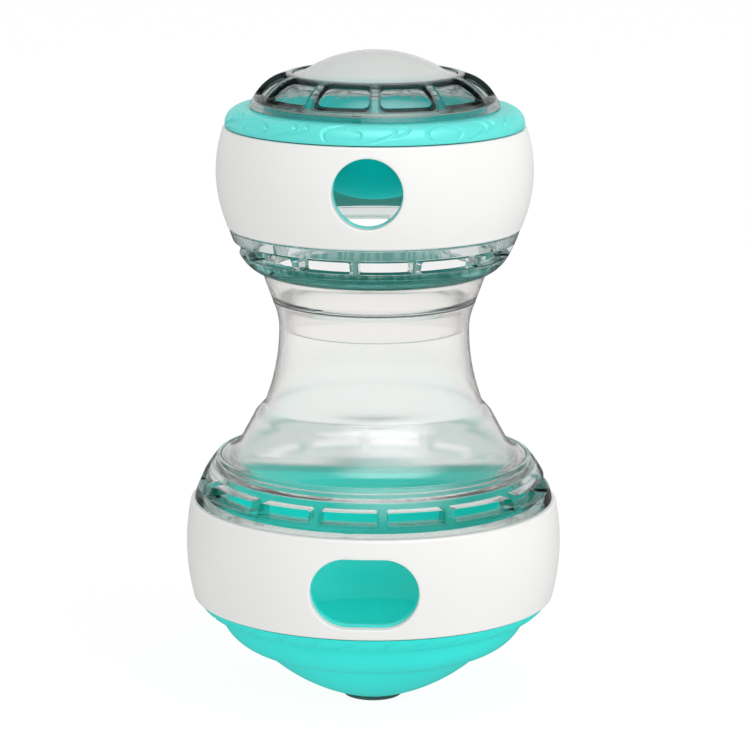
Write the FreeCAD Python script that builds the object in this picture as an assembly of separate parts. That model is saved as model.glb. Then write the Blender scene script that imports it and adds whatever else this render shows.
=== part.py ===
import FreeCAD, Part
import math
import os

# A tumbling treat ball for pets: a weighted bowl with a turning white band,
# a clear waisted neck in two halves, and an upper drum with a second turning
# band, an inner cup and a clear cap. Millimetres, +Z up, the foot on z = 0,
# the two treat holes towards -Y.

# Running gaps
turn_gap = 0.4          # between a band's bore and the liner inside it
band_gap = 0.3          # above and below each band
seat_gap = 0.3          # round a piece that lifts out or twists off
snug_gap = 0.2          # round a piece that is snapped or glued in
touch_gap = 0.08        # between a friction ring and the band it brakes
hole_lip = 0.2          # how much smaller a liner's hole is than its band's
spare = 1.0             # how far a cutter runs past what it cuts
cutter_start = 0.6      # a hole's cutter starts this share of the bore's radius out

# Foot
foot_r = 8.6
foot_show = 1.8         # how far the pad stands below the bowl
foot_round = 1.4        # rounding of the pad's lower edge
foot_seat = 1.1         # depth of the recess that takes the pad
stem_r = 3.0
barb_r = 4.2
barb_height = 1.6
barb_tip_r = 2.4

# Bowl, from the foot up: two rounded tiers and a patterned rim
keel_edge = 1.2         # underside of the bowl left round the foot
keel_wall = 2.2         # bottom wall above the foot's recess
low_tier_height = 13.3
low_tier_bulge = 1.6
tier_step = 0.5         # step from the low tier out to the middle one
mid_tier_width = 10.5   # from its lower edge out to its upper one
mid_tier_height = 9.3
mid_tier_bulge = 2.0
rim_step = 0.3          # step from the middle tier out to the patterned rim
rim_width = 5.8         # from its lower edge out to its upper one
rim_overhang = 1.6      # beyond the band's bore
rim_height = 4.6
rim_bulge = 0.8
bowl_wall = 2.4
sweep_rise = 12.5       # height over which the floor sweeps up to the liner
sweep_bulge = 1.5

# Floor over the weight, its screws and the weight
floor_seat = 1.1        # how far the floor reaches beyond the low tier's edge
floor_thick = 2.0
floor_rise = 3.4        # top of the floor above the low tier's edge
screw_count = 3
screw_inset = 13.0      # from the floor's edge to the screws' circle
screw_turn = 0.0        # degrees from the front to the first screw
boss_r = 3.2
screw_r = 1.25
screw_length = 8.5
screw_head_r = 2.7
screw_head_height = 1.5
screw_recess_width = 0.7
screw_recess_arm = 3.2
screw_recess_depth = 0.9
thread_gap = 0.05       # thread shown plain, just inside its pilot hole
weight_gap = 0.6        # between the weight and the bowl's wall
weight_top_gap = 0.4
weight_bore_gap = 1.0   # between the weight and the foot's barb

# Lower band, its liner and its stadium-shaped hole
lower_band_r = 52.0         # outside at the belly: the widest place of all
lower_band_height = 27.8
lower_belly_wall = 4.6      # band's wall at the belly
lower_band_foot_wall = 2.8  # where the lower edge's rounding starts
lower_band_head_wall = 3.5  # where the upper edge's rounding starts
lower_belly_share = 0.54    # height of the widest place, as a share of the band
band_edge = 1.0             # rounding of the bands' edges
lower_liner_wall = 2.2
stadium_width = 29.3
stadium_height = 19.4
stadium_rise = 3.2          # below the hole, from the band's lower edge

# Friction rings that hold the bands where they are set
lower_brake_section = 0.6   # radius of the cord
lower_brake_drop = 1.9      # below the liner's top edge
upper_brake_section = 0.5
upper_brake_rise = 3.2      # above the liner's lower edge

# Lower vent ring, clear, twisted into the top of the lower liner
base_seal_thick = 0.9
base_seal_width = 1.8
lower_ring_overhang = 2.3   # beyond the band's bore
lower_ring_height = 12.1
lower_ring_wall = 6.3       # at its foot, behind the slots
lower_ring_head_wall = 0.9  # round the neck's flange
lower_ring_bulge = 0.8
skirt_wall = 2.0            # skirt that enters the liner
skirt_depth = 4.6
flange_thick = 2.1          # rebate for the neck's flange
flange_inset = 1.1          # from the ring's bore in to the flange's edge
flange_seat = 1.6           # width of the flange outside the spigot
lip_thick = 1.4
lower_slot_rise = 3.1       # from the ring's lower edge to the slots
lower_slot_height = 3.2
lower_slot_short = 18.9     # degrees
lower_slot_bar = 3.5        # degrees between slots
lower_short_slots = 3       # short slots in each half turn
lower_long_slots = 4        # longer slots that fill the rest of a half turn
index_turn = -5.5           # degrees from the front to the index marks
index_width = 2.4
index_height = 1.1
index_depth = 1.0

# Lower neck, clear: flange, cone, crease and bell
ledge_rise = 5.0            # height of the hollow curve above the ring
ledge_width = 5.9           # from the flange's edge in to the cone's foot
ledge_hollow = 0.85
cone_height = 5.5
cone_taper = 3.0            # from the cone's foot in to its head
crease_rise = 3.7           # round shoulder between the cone and the crease
crease_width = 3.1
crease_bulge = 0.37
bell_height = 21.3          # from the crease up to the waist
bell_hollow = 4.1           # from the crease in to the waist
flare_height = 7.9          # from the waist up to the seam
flare_width = 1.9           # from the waist out to the seam
neck_wall = 1.6             # at the waist, beside the socket
cone_wall = 2.0
spigot_length = 2.9
spigot_wall = 2.0

# Upper neck, clear, and its seal
neck_seal_thick = 0.4
neck_plug_wall = 1.8        # of the plug inside the lower neck
upper_neck_height = 7.6
collar_flare = 2.8          # from the seam out to the collar under the ring
collar_step = 1.6           # from the collar in to the part that enters the ring
collar_wall = 1.9
collar_step_height = 3.6
collar_chamfer = 1.4        # where the inner flare meets the collar's bore
neck_flare = 3.6            # height of the plug's inner flare
neck_flare_drop = 2.5       # how far the flare starts below the neck's foot
neck_mark_depth = 0.6
neck_mark_turn = -29.3      # degrees from the front to the seam's notch

# Upper vent ring, clear
upper_ring_overhang = 0.3   # beyond the collar
upper_ring_knee_width = 5.8 # from its foot out to its knee
upper_ring_knee_rise = 5.1
upper_ring_knee_bulge = 0.7
upper_ring_head_width = 3.0 # from its knee out to its head
upper_ring_height = 12.1
upper_ring_bulge = 0.2
upper_ring_inset = 3.2      # from the liner's bore in to the ring's
upper_ring_floor = 2.6      # thickness round the neck's collar
upper_ring_chamfer = 1.0
upstand_wall = 1.7          # lip that locates the upper liner
upstand_height = 2.4
upper_slot_rise = 5.4
upper_slot_height = 3.4
upper_slot_short = 22.0
upper_slot_bar = 3.6
upper_short_slots = 2
upper_long_slots = 4

# Upper band, its liner and its round hole
upper_bore_inset = 1.6      # from the vent ring's head in to the band's bore
upper_band_height = 27.7
upper_belly_wall = 5.1
upper_band_foot_wall = 2.2
upper_band_head_wall = 3.4
upper_belly_share = 0.55
upper_liner_wall = 1.8
round_hole_r = 9.5
round_hole_rise = 15.3      # hole's centre above the band's lower edge
shoulder_overhang = 2.6     # beyond the band's bore
shoulder_height = 4.9
shoulder_width = 4.4        # from its edge in to the flat crown
shoulder_bulge = 1.5
crown_thick = 2.0
crown_seat = 3.4            # ledge that the cup's flange lies on

# Inner cup and its seal
cup_centre_rise = 2.4       # of the ball's centre above the crown
cup_wall = 1.4
cup_flange_thick = 1.0
cap_seal_thick = 0.6
cap_seal_width = 3.6

# Cap: a clear ring with sunken windows, and a clear dome
cap_inset = 2.3             # from the shoulder's crown in to the cap's rim
cap_skirt_wall = 2.6        # at the rim, outside the cup's flange
cap_skirt_taper = 0.8
cap_skirt_height = 1.8
cap_slope_width = 10.3      # from the skirt in to the top edge
cap_slope_height = 7.4
cap_slope_bulge = 1.6
cap_wall = 2.4              # behind the slope
cap_pane = 0.9              # clear pane left at the bottom of each window
cap_foot_width = 2.7        # land that presses on the seal
cap_foot_height = 0.8
dome_rebate = 0.6           # from the cap's top edge in to the dome's seat
dome_seat_depth = 1.5
dome_seat_width = 2.1
window_count = 11
window_turn = 2.7           # degrees from the front to a bar between windows
window_bar = 2.5            # between two windows
window_foot = 2.15          # window's lower edge, up the slope's chord from its foot
window_length = 9.0
window_low_draft = 3.2      # how far the lower wall leans in per mm of depth
window_top_draft = 1.0
window_side_draft = 0.4
window_corner = 1.7
window_reach = 1.0          # how far the windows' cutters run below the slope's chord
cap_lug_width = 2.2
cap_lug_height = 2.5
cap_lug_stand = 0.4
cap_lug_root = 0.8          # how far the lug reaches into the skirt
dome_flange_height = 1.1
dome_flare_width = 5.0      # from the seat in to where the ball shape starts
dome_height = 7.5           # from the seat to the top
dome_foot_width = 3.7       # from the seat in to the edge of the dome's hollow
dome_root_hollow = 0.35     # how far the flare round the root is hollowed
dome_wall = 1.8

# Heights worked out from the sizes above
z_keel = foot_show
z_low = z_keel + low_tier_height
z_mid = z_low + mid_tier_height
z_rim = z_mid + rim_height
z_band = z_rim + band_gap
z_band_top = z_band + lower_band_height
z_ring = z_band_top + band_gap
z_liner_top = z_ring - base_seal_thick
z_ring_top = z_ring + lower_ring_height
z_flange = z_ring_top - flange_thick
z_cone = z_ring_top + ledge_rise
z_cone_top = z_cone + cone_height
z_crease = z_cone_top + crease_rise
z_waist = z_crease + bell_height
z_seam = z_waist + flare_height
z_upper_neck = z_seam + neck_seal_thick
z_upper_ring = z_upper_neck + upper_neck_height
z_upper_ring_top = z_upper_ring + upper_ring_height
z_upper_band = z_upper_ring_top + band_gap
z_upper_band_top = z_upper_band + upper_band_height
z_shoulder = z_upper_band_top + band_gap
z_crown = z_shoulder + shoulder_height
z_cup = z_crown + cup_centre_rise
z_cup_flange = z_crown + cup_flange_thick
z_cap_seal = z_cup_flange + cap_seal_thick
z_cap = z_crown + seat_gap
z_cap_slope = z_cap + cap_skirt_height
z_cap_top = z_cap_slope + cap_slope_height
z_dome = z_cap_top - dome_seat_depth
z_floor_top = z_low + floor_rise
z_floor = z_floor_top - floor_thick
z_cavity = z_keel + foot_seat + keel_wall

# Radii worked out from the widest place inwards and upwards
lower_bore_r = lower_band_r - lower_belly_wall
lower_liner_r = lower_bore_r - turn_gap
lower_liner_bore_r = lower_liner_r - lower_liner_wall
skirt_r = lower_liner_bore_r - seat_gap
rim_r = lower_bore_r + rim_overhang
rim_foot_r = rim_r - rim_width
mid_tier_r = rim_foot_r - rim_step
mid_tier_foot_r = mid_tier_r - mid_tier_width
low_tier_r = mid_tier_foot_r - tier_step
keel_r = foot_r + keel_edge
floor_r = low_tier_r + floor_seat
screw_circle_r = floor_r - screw_inset
lower_ring_foot_r = lower_bore_r + lower_ring_overhang
lower_ring_bore_r = lower_ring_foot_r - lower_ring_wall
flange_r = lower_ring_bore_r - flange_inset
lower_ring_head_r = flange_r + snug_gap + lower_ring_head_wall
spigot_r = flange_r - flange_seat
cone_foot_r = flange_r - ledge_width
cone_head_r = cone_foot_r - cone_taper
crease_r = cone_head_r - crease_width
waist_r = crease_r - bell_hollow
seam_r = waist_r + flare_width
plug_r = waist_r - neck_wall - seat_gap
collar_r = seam_r + collar_flare
collar_step_r = collar_r - collar_step
collar_bore_r = collar_step_r - collar_wall
upper_ring_foot_r = collar_r + upper_ring_overhang
upper_ring_knee_r = upper_ring_foot_r + upper_ring_knee_width
upper_ring_head_r = upper_ring_knee_r + upper_ring_head_width
upper_bore_r = upper_ring_head_r - upper_bore_inset
upper_band_r = upper_bore_r + upper_belly_wall
upper_liner_r = upper_bore_r - turn_gap
upper_liner_bore_r = upper_liner_r - upper_liner_wall
upper_ring_bore_r = upper_liner_bore_r - upper_ring_inset
shoulder_r = upper_bore_r + shoulder_overhang
crown_r = shoulder_r - shoulder_width
cap_rim_r = crown_r - cap_inset
cap_skirt_r = cap_rim_r - cap_skirt_taper
cup_flange_r = cap_rim_r - cap_skirt_wall - seat_gap
crown_bore_r = cup_flange_r - crown_seat
cup_r = crown_bore_r - turn_gap
cap_top_r = cap_skirt_r - cap_slope_width
dome_seat_r = cap_top_r - dome_rebate
dome_hole_r = dome_seat_r - dome_seat_width
dome_root_r = dome_seat_r - dome_flare_width
dome_foot_r = dome_seat_r - dome_foot_width
dome_hollow = dome_height - dome_wall
dome_inside_r = (dome_foot_r ** 2 + dome_hollow ** 2) / (2 * dome_hollow)
dome_ball_r = dome_inside_r + dome_wall

os.makedirs("parts", exist_ok=True)


def at(r, z):
    """A point of an outline: radius r along X, height z."""
    return FreeCAD.Vector(r, 0, z)


def bulged(start, end, bulge):
    """The point that makes an arc from start to end stand out by bulge, to the right of the way."""
    along = end.sub(start)
    side = FreeCAD.Vector(along.z, 0, -along.x)
    side.normalize()
    return start.add(end).multiply(0.5).add(side.multiply(bulge))


def arc_centre(start, end, bulge):
    """Centre and radius of the arc that bulged() describes."""
    half = end.sub(start).Length / 2
    radius = (half * half + bulge * bulge) / (2 * bulge)
    middle = bulged(start, end, bulge)
    inward = start.add(end).multiply(0.5).sub(middle)
    inward.normalize()
    return middle.add(inward.multiply(radius)), radius


def radius_at(centre, radius, z):
    """Radius from the axis of a circle's outer side at height z."""
    return centre.x + math.sqrt(radius * radius - (z - centre.z) ** 2)


def outline_edges(steps):
    """Edges through the steps: a point is a straight line, a pair is an arc through its first point."""
    edges = []
    here = steps[0]
    for step in steps[1:] + steps[:1]:
        if isinstance(step, tuple):
            middle, there = step
            edges.append(Part.Arc(here, middle, there).toShape())
        else:
            there = step
            if there.sub(here).Length > 1e-6:
                edges.append(Part.LineSegment(here, there).toShape())
        here = there
    return edges


def turned(*steps, angle=360):
    """A solid of revolution about Z with this outline."""
    face = Part.Face(Part.Wire(outline_edges(list(steps))))
    solid = face.revolve(FreeCAD.Vector(0, 0, 0), FreeCAD.Vector(0, 0, 1), angle)
    if solid.Volume < 0:
        solid.reverse()
    return solid


def about_z(shape, degrees):
    """A copy of the shape turned about Z."""
    copy = shape.copy()
    copy.rotate(FreeCAD.Vector(0, 0, 0), FreeCAD.Vector(0, 0, 1), degrees)
    return copy


def rod(r, z0, z1, x=0.0, y=0.0):
    """An upright cylinder."""
    return Part.makeCylinder(r, z1 - z0, FreeCAD.Vector(x, y, z0))


def sector(r0, r1, z0, z1, start, width):
    """A ring piece from start, in degrees from the front, over a width in degrees."""
    piece = turned(at(r0, z0), at(r1, z0), at(r1, z1), at(r0, z1), angle=width)
    return about_z(piece, start - 90)


def mark(width, r0, r1, z0, z1, turn):
    """A small upright block at an angle from the front, for index marks and lugs."""
    block = Part.makeBox(r1 - r0, width, z1 - z0, FreeCAD.Vector(r0, -width / 2, z0))
    return about_z(block, turn - 90)


def slots(r0, r1, z0, height, short, bar, short_count, long_count):
    """Slots round a ring: in each half turn a short group centred on the index mark, then long ones."""
    short_pitch = short + bar
    long_pitch = (180 - short_count * short_pitch) / long_count
    cutters = []
    for half_turn in (0, 180):
        start = index_turn + half_turn - short_count * short_pitch / 2 + bar / 2
        for number in range(short_count):
            cutters.append(sector(r0, r1, z0, z0 + height, start, short))
            start += short_pitch
        for number in range(long_count):
            cutters.append(sector(r0, r1, z0, z0 + height, start, long_pitch - bar))
            start += long_pitch
    return cutters


def stadium_cutter(width, height, z_middle):
    """A prism towards the front with a stadium section."""
    r = height / 2
    side = width / 2 - r
    near = -lower_bore_r * cutter_start
    length = lower_band_r + near + spare
    corners = []
    for x, z in ((-side, -r), (side, -r), (side, r), (-side, r)):
        corners.append(FreeCAD.Vector(x, near, z_middle + z))
    right = FreeCAD.Vector(width / 2, near, z_middle)
    left = FreeCAD.Vector(-width / 2, near, z_middle)
    edges = [
        Part.LineSegment(corners[0], corners[1]).toShape(),
        Part.Arc(corners[1], right, corners[2]).toShape(),
        Part.LineSegment(corners[2], corners[3]).toShape(),
        Part.Arc(corners[3], left, corners[0]).toShape(),
    ]
    return Part.Face(Part.Wire(edges)).extrude(FreeCAD.Vector(0, -length, 0))


def round_cutter(r, z_middle):
    """A round prism towards the front."""
    start = upper_bore_r * cutter_start
    near = FreeCAD.Vector(0, -start, z_middle)
    return Part.makeCylinder(r, upper_band_r + spare - start, near, FreeCAD.Vector(0, -1, 0))


def torus(ring_r, section_r, z):
    """A friction ring's cord, bent to a circle."""
    return Part.makeTorus(ring_r, section_r, FreeCAD.Vector(0, 0, z))


def screw_places():
    """Centres of the floor's screws."""
    places = []
    for number in range(screw_count):
        angle = math.radians(screw_turn - 90 + 360 * number / screw_count)
        places.append((screw_circle_r * math.cos(angle), screw_circle_r * math.sin(angle)))
    return places


def low_tier_arc():
    """Centre and radius of the low tier's outside."""
    return arc_centre(at(keel_r, z_keel), at(low_tier_r, z_low), low_tier_bulge)


def foot():
    """Rubber pad with a barbed stem pushed through the bowl."""
    top = z_keel + foot_seat
    stem_top = z_cavity
    edge = foot_round * (1 - math.sqrt(0.5))
    return turned(
        at(0, 0),
        at(foot_r - foot_round, 0),
        (at(foot_r - edge, edge), at(foot_r, foot_round)),
        at(foot_r, top),
        at(stem_r, top),
        at(stem_r, stem_top),
        at(barb_r, stem_top),
        at(barb_tip_r, stem_top + barb_height),
        at(0, stem_top + barb_height),
    )


def base_shell():
    """Bowl, patterned rim and liner in one moulding, with the liner's half of the lower hole."""
    low0, low1 = at(keel_r, z_keel), at(low_tier_r, z_low)
    mid0, mid1 = at(mid_tier_foot_r, z_low), at(mid_tier_r, z_mid)
    rim0, rim1 = at(rim_foot_r, z_mid), at(rim_r, z_rim)
    body = turned(
        at(0, z_keel),
        low0,
        (bulged(low0, low1, low_tier_bulge), low1),
        mid0,
        (bulged(mid0, mid1, mid_tier_bulge), mid1),
        rim0,
        (bulged(rim0, rim1, rim_bulge), rim1),
        at(lower_liner_r, z_rim),
        at(lower_liner_r, z_liner_top),
        at(0, z_liner_top),
    )
    centre, radius = low_tier_arc()
    inner = radius - bowl_wall
    z_half = (z_cavity + z_floor) / 2
    seat_r = floor_r + seat_gap
    sweep0 = at(seat_r, z_floor_top)
    sweep1 = at(lower_liner_bore_r, z_floor_top + sweep_rise)
    cavity = turned(
        at(0, z_cavity),
        at(radius_at(centre, inner, z_cavity), z_cavity),
        (at(radius_at(centre, inner, z_half), z_half), at(radius_at(centre, inner, z_floor), z_floor)),
        at(seat_r, z_floor),
        sweep0,
        (bulged(sweep0, sweep1, sweep_bulge), sweep1),
        at(lower_liner_bore_r, z_liner_top),
        at(0, z_liner_top),
    )
    for x, y in screw_places():
        boss = rod(boss_r, z_keel, z_floor, x, y)
        pilot = rod(screw_r + thread_gap, z_floor_top - screw_length - spare, z_floor, x, y)
        cavity = cavity.cut(boss).fuse(pilot)
    body = body.cut(cavity)
    body = body.cut(rod(foot_r + snug_gap, 0, z_keel + foot_seat))
    body = body.cut(rod(stem_r + snug_gap / 2, 0, z_cavity + spare))
    z_brake = z_liner_top - lower_brake_drop
    groove_r = lower_bore_r - touch_gap - 2 * lower_brake_section
    half = lower_brake_section + snug_gap / 2
    body = body.cut(turned(
        at(groove_r, z_brake - half),
        at(lower_liner_r + spare, z_brake - half),
        at(lower_liner_r + spare, z_brake + half),
        at(groove_r, z_brake + half),
    ))
    middle = z_band + stadium_rise + stadium_height / 2
    hole = stadium_cutter(stadium_width - 2 * hole_lip, stadium_height - 2 * hole_lip, middle)
    return body.cut(hole)


def lower_friction_ring():
    """Silicone cord ring in the lower liner's groove."""
    ring_r = lower_bore_r - touch_gap - lower_brake_section
    return torus(ring_r, lower_brake_section, z_liner_top - lower_brake_drop)


def weight():
    """Steel ring that lies in the bowl under the floor, bored for the foot's barb and the bosses."""
    centre, radius = low_tier_arc()
    inner = radius - bowl_wall - weight_gap
    top = z_floor - weight_top_gap
    z_half = (z_cavity + top) / 2
    bore_r = barb_r + weight_bore_gap
    block = turned(
        at(bore_r, z_cavity),
        at(radius_at(centre, inner, z_cavity), z_cavity),
        (at(radius_at(centre, inner, z_half), z_half), at(radius_at(centre, inner, top), top)),
        at(bore_r, top),
    )
    for x, y in screw_places():
        block = block.cut(rod(boss_r + seat_gap, 0, z_floor, x, y))
    return block


def weight_cover():
    """Floor disc over the weight, countersunk for its screws."""
    disc = rod(floor_r, z_floor, z_floor_top)
    for x, y in screw_places():
        disc = disc.cut(rod(screw_r + snug_gap, z_floor - spare, z_floor_top, x, y))
        sink_r = screw_head_r + snug_gap / 2
        sink = Part.makeCone(
            screw_r + snug_gap / 2, sink_r, screw_head_height,
            FreeCAD.Vector(x, y, z_floor_top - screw_head_height))
        disc = disc.cut(sink)
    return disc


def cover_screws():
    """The floor's countersunk screws, with cross recesses."""
    screws = []
    for x, y in screw_places():
        neck = z_floor_top - screw_head_height
        screw = rod(screw_r, z_floor_top - screw_length, neck, x, y)
        head = Part.makeCone(screw_r, screw_head_r, screw_head_height, FreeCAD.Vector(x, y, neck))
        screw = screw.fuse(head)
        for long_x, long_y in ((1, 0), (0, 1)):
            size_x = screw_recess_arm if long_x else screw_recess_width
            size_y = screw_recess_arm if long_y else screw_recess_width
            corner = FreeCAD.Vector(x - size_x / 2, y - size_y / 2, z_floor_top - screw_recess_depth)
            screw = screw.cut(Part.makeBox(size_x, size_y, screw_recess_depth + spare, corner))
        screws.append(screw)
    return Part.makeCompound(screws)


def band(bore_r, z0, height, foot_wall, belly_wall, head_wall, belly_share):
    """A white band: straight bore, bulging outside and rounded edges."""
    z1 = z0 + height
    band_foot_r, belly_r, head_r = bore_r + foot_wall, bore_r + belly_wall, bore_r + head_wall
    low = at(band_foot_r, z0 + band_edge)
    high = at(head_r, z1 - band_edge)
    edge = band_edge * (1 - math.sqrt(0.5))
    return turned(
        at(bore_r, z0),
        at(band_foot_r - band_edge, z0),
        (at(band_foot_r - edge, z0 + edge), low),
        (at(belly_r, z0 + height * belly_share), high),
        (at(head_r - edge, z1 - edge), at(head_r - band_edge, z1)),
        at(bore_r, z1),
    )


def lower_band():
    """Lower band with the stadium hole that treats fall from."""
    body = band(lower_bore_r, z_band, lower_band_height, lower_band_foot_wall,
                lower_belly_wall, lower_band_head_wall, lower_belly_share)
    middle = z_band + stadium_rise + stadium_height / 2
    return body.cut(stadium_cutter(stadium_width, stadium_height, middle))


def base_seal():
    """Silicone washer on the liner's top edge, under the lower vent ring."""
    inner = lower_liner_bore_r + snug_gap
    outer = inner + base_seal_width
    return rod(outer, z_liner_top, z_ring).cut(rod(inner, z_liner_top, z_ring))


def lower_vent_ring():
    """Clear ring with slots, a skirt into the liner and a lip that carries the neck."""
    foot_point = at(lower_ring_foot_r, z_ring)
    head_point = at(lower_ring_head_r, z_ring_top)
    lip_r = spigot_r + snug_gap
    body = turned(
        at(skirt_r, z_ring),
        foot_point,
        (bulged(foot_point, head_point, lower_ring_bulge), head_point),
        at(flange_r + snug_gap, z_ring_top),
        at(flange_r + snug_gap, z_flange),
        at(lip_r, z_flange),
        at(lip_r, z_flange - lip_thick),
        at(lower_ring_bore_r, z_flange - 2 * lip_thick),
        at(lower_ring_bore_r, z_ring + lip_thick),
        at(skirt_r - skirt_wall, z_ring),
        at(skirt_r - skirt_wall, z_ring - skirt_depth),
        at(skirt_r, z_ring - skirt_depth),
    )
    for cutter in slots(lower_ring_bore_r - spare, lower_ring_foot_r + spare, z_ring + lower_slot_rise,
                        lower_slot_height, lower_slot_short, lower_slot_bar,
                        lower_short_slots, lower_long_slots):
        body = body.cut(cutter)
    notch = mark(index_width, lower_ring_foot_r - index_depth, lower_ring_foot_r + spare, z_ring,
                 z_ring + index_height, index_turn)
    return body.cut(notch)


def lower_neck():
    """Clear neck: flange in the ring, hollow ledge, cone, crease, and a bell that ends in a socket."""
    bell_r = ((crease_r - waist_r) ** 2 + bell_height ** 2) / (2 * (crease_r - waist_r))
    bell_centre = at(waist_r + bell_r, z_waist)
    flare_r = ((seam_r - waist_r) ** 2 + flare_height ** 2) / (2 * (seam_r - waist_r))
    flare_centre = at(waist_r + flare_r, z_waist)

    def bell(z, wall):
        return at(bell_centre.x - math.sqrt((bell_r + wall) ** 2 - (z - z_waist) ** 2), z)

    def flare(z):
        return at(flare_centre.x - math.sqrt(flare_r ** 2 - (z - z_waist) ** 2), z)

    ledge0, ledge1 = at(flange_r, z_ring_top), at(cone_foot_r, z_cone)
    round0, round1 = at(cone_head_r, z_cone_top), at(crease_r, z_crease)
    in_low, in_high = at(cone_foot_r - cone_wall, z_cone), at(cone_head_r - cone_wall, z_cone_top)
    in_crease = bell(z_crease + neck_wall / 3, neck_wall)
    bore_r = spigot_r - spigot_wall
    socket_r = waist_r - neck_wall
    return turned(
        at(bore_r, z_flange - spigot_length),
        at(spigot_r, z_flange - spigot_length),
        at(spigot_r, z_flange),
        at(flange_r, z_flange),
        ledge0,
        (bulged(ledge0, ledge1, -ledge_hollow), ledge1),
        round0,
        (bulged(round0, round1, crease_bulge), round1),
        (bell(z_crease + bell_height / 2, 0), at(waist_r, z_waist)),
        (flare(z_waist + flare_height / 2), at(seam_r, z_seam)),
        at(socket_r, z_seam),
        at(socket_r, z_waist),
        (bell(z_crease + bell_height / 2, neck_wall), in_crease),
        (bulged(in_crease, in_high, -crease_bulge), in_high),
        in_low,
        at(bore_r, z_flange + flange_thick / 2),
    )


def neck_seal():
    """Silicone washer in the seam between the two necks."""
    inner = plug_r + seat_gap / 2
    outer = seam_r - seat_gap
    return rod(outer, z_seam, z_upper_neck).cut(rod(inner, z_seam, z_upper_neck))


def upper_neck():
    """Clear neck with a plug that stands in the lower neck's socket and a collar for the ring."""
    plug_bore = plug_r - neck_plug_wall
    z_flare = z_upper_neck - neck_flare_drop
    z_collar = z_upper_ring + collar_step_height
    body = turned(
        at(plug_bore, z_waist),
        at(plug_r, z_waist),
        at(plug_r, z_upper_neck),
        at(seam_r, z_upper_neck),
        at(collar_r, z_upper_ring),
        at(collar_step_r, z_upper_ring),
        at(collar_step_r, z_collar),
        at(collar_bore_r, z_collar),
        at(collar_bore_r, z_upper_ring - collar_chamfer),
        at(collar_bore_r - collar_chamfer, z_flare + neck_flare),
        at(plug_bore, z_flare),
    )
    notch = mark(index_width, seam_r - neck_mark_depth, seam_r + spare, z_upper_neck,
                 z_upper_neck + index_height, neck_mark_turn)
    return body.cut(notch)


def upper_vent_ring():
    """Clear ring with slots that closes the upper drum and carries it on the neck."""
    foot_point = at(upper_ring_foot_r, z_upper_ring)
    knee = at(upper_ring_knee_r, z_upper_ring + upper_ring_knee_rise)
    head_point = at(upper_ring_head_r, z_upper_ring_top)
    bore_r = collar_step_r + snug_gap
    upstand_r = upper_liner_bore_r - snug_gap
    body = turned(
        at(bore_r, z_upper_ring),
        foot_point,
        (bulged(foot_point, knee, upper_ring_knee_bulge), knee),
        (bulged(knee, head_point, upper_ring_bulge), head_point),
        at(upstand_r, z_upper_ring_top),
        at(upstand_r, z_upper_ring_top + upstand_height),
        at(upstand_r - upstand_wall, z_upper_ring_top + upstand_height),
        at(upstand_r - upstand_wall, z_upper_ring_top),
        at(upper_ring_bore_r, z_upper_ring_top - upper_ring_chamfer),
        at(upper_ring_bore_r, z_upper_ring + upper_ring_floor + upper_ring_chamfer),
        at(upper_ring_bore_r - upper_ring_chamfer, z_upper_ring + upper_ring_floor),
        at(bore_r, z_upper_ring + upper_ring_floor),
    )
    for cutter in slots(upper_ring_bore_r - spare, upper_ring_head_r + spare, z_upper_ring + upper_slot_rise,
                        upper_slot_height, upper_slot_short, upper_slot_bar,
                        upper_short_slots, upper_long_slots):
        body = body.cut(cutter)
    return body


def upper_band():
    """Upper band with the round hole that treats go in and out of."""
    body = band(upper_bore_r, z_upper_band, upper_band_height, upper_band_foot_wall,
                upper_belly_wall, upper_band_head_wall, upper_belly_share)
    return body.cut(round_cutter(round_hole_r, z_upper_band + round_hole_rise))


def upper_shell():
    """Patterned shoulder and liner in one moulding, open at the crown for the cup."""
    edge0, edge1 = at(shoulder_r, z_shoulder), at(crown_r, z_crown)
    body = turned(
        at(upper_liner_bore_r, z_upper_ring_top),
        at(upper_liner_r, z_upper_ring_top),
        at(upper_liner_r, z_shoulder),
        edge0,
        (bulged(edge0, edge1, shoulder_bulge), edge1),
        at(crown_bore_r, z_crown),
        at(crown_bore_r, z_crown - crown_thick),
        at(upper_liner_bore_r - crown_thick, z_crown - crown_thick),
        at(upper_liner_bore_r, z_crown - 2 * crown_thick),
    )
    z_brake = z_upper_ring_top + upper_brake_rise
    groove_r = upper_bore_r - touch_gap - 2 * upper_brake_section
    half = upper_brake_section + snug_gap / 2
    body = body.cut(turned(
        at(groove_r, z_brake - half),
        at(upper_liner_r + spare, z_brake - half),
        at(upper_liner_r + spare, z_brake + half),
        at(groove_r, z_brake + half),
    ))
    return body.cut(round_cutter(round_hole_r - hole_lip, z_upper_band + round_hole_rise))


def upper_friction_ring():
    """Silicone cord ring in the upper liner's groove."""
    ring_r = upper_bore_r - touch_gap - upper_brake_section
    return torus(ring_r, upper_brake_section, z_upper_ring_top + upper_brake_rise)


def inner_cup():
    """Half-ball cup that hangs by its flange in the crown."""
    inside_r = cup_r - cup_wall
    rim_out = math.sqrt(cup_r ** 2 - (z_cup - z_crown) ** 2)
    rim_in = math.sqrt(inside_r ** 2 - (z_cup - z_cup_flange) ** 2)
    slant = math.sqrt(0.5)
    return turned(
        at(0, z_cup - cup_r),
        (at(cup_r * slant, z_cup - cup_r * slant), at(rim_out, z_crown)),
        at(cup_flange_r, z_crown),
        at(cup_flange_r, z_cup_flange),
        at(rim_in, z_cup_flange),
        (at(inside_r * slant, z_cup - inside_r * slant), at(0, z_cup - inside_r)),
    )


def cap_seal():
    """Silicone washer between the cup's flange and the cap."""
    inner = cup_flange_r - cap_seal_width
    return rod(cup_flange_r, z_cup_flange, z_cap_seal).cut(rod(inner, z_cup_flange, z_cap_seal))


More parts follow.
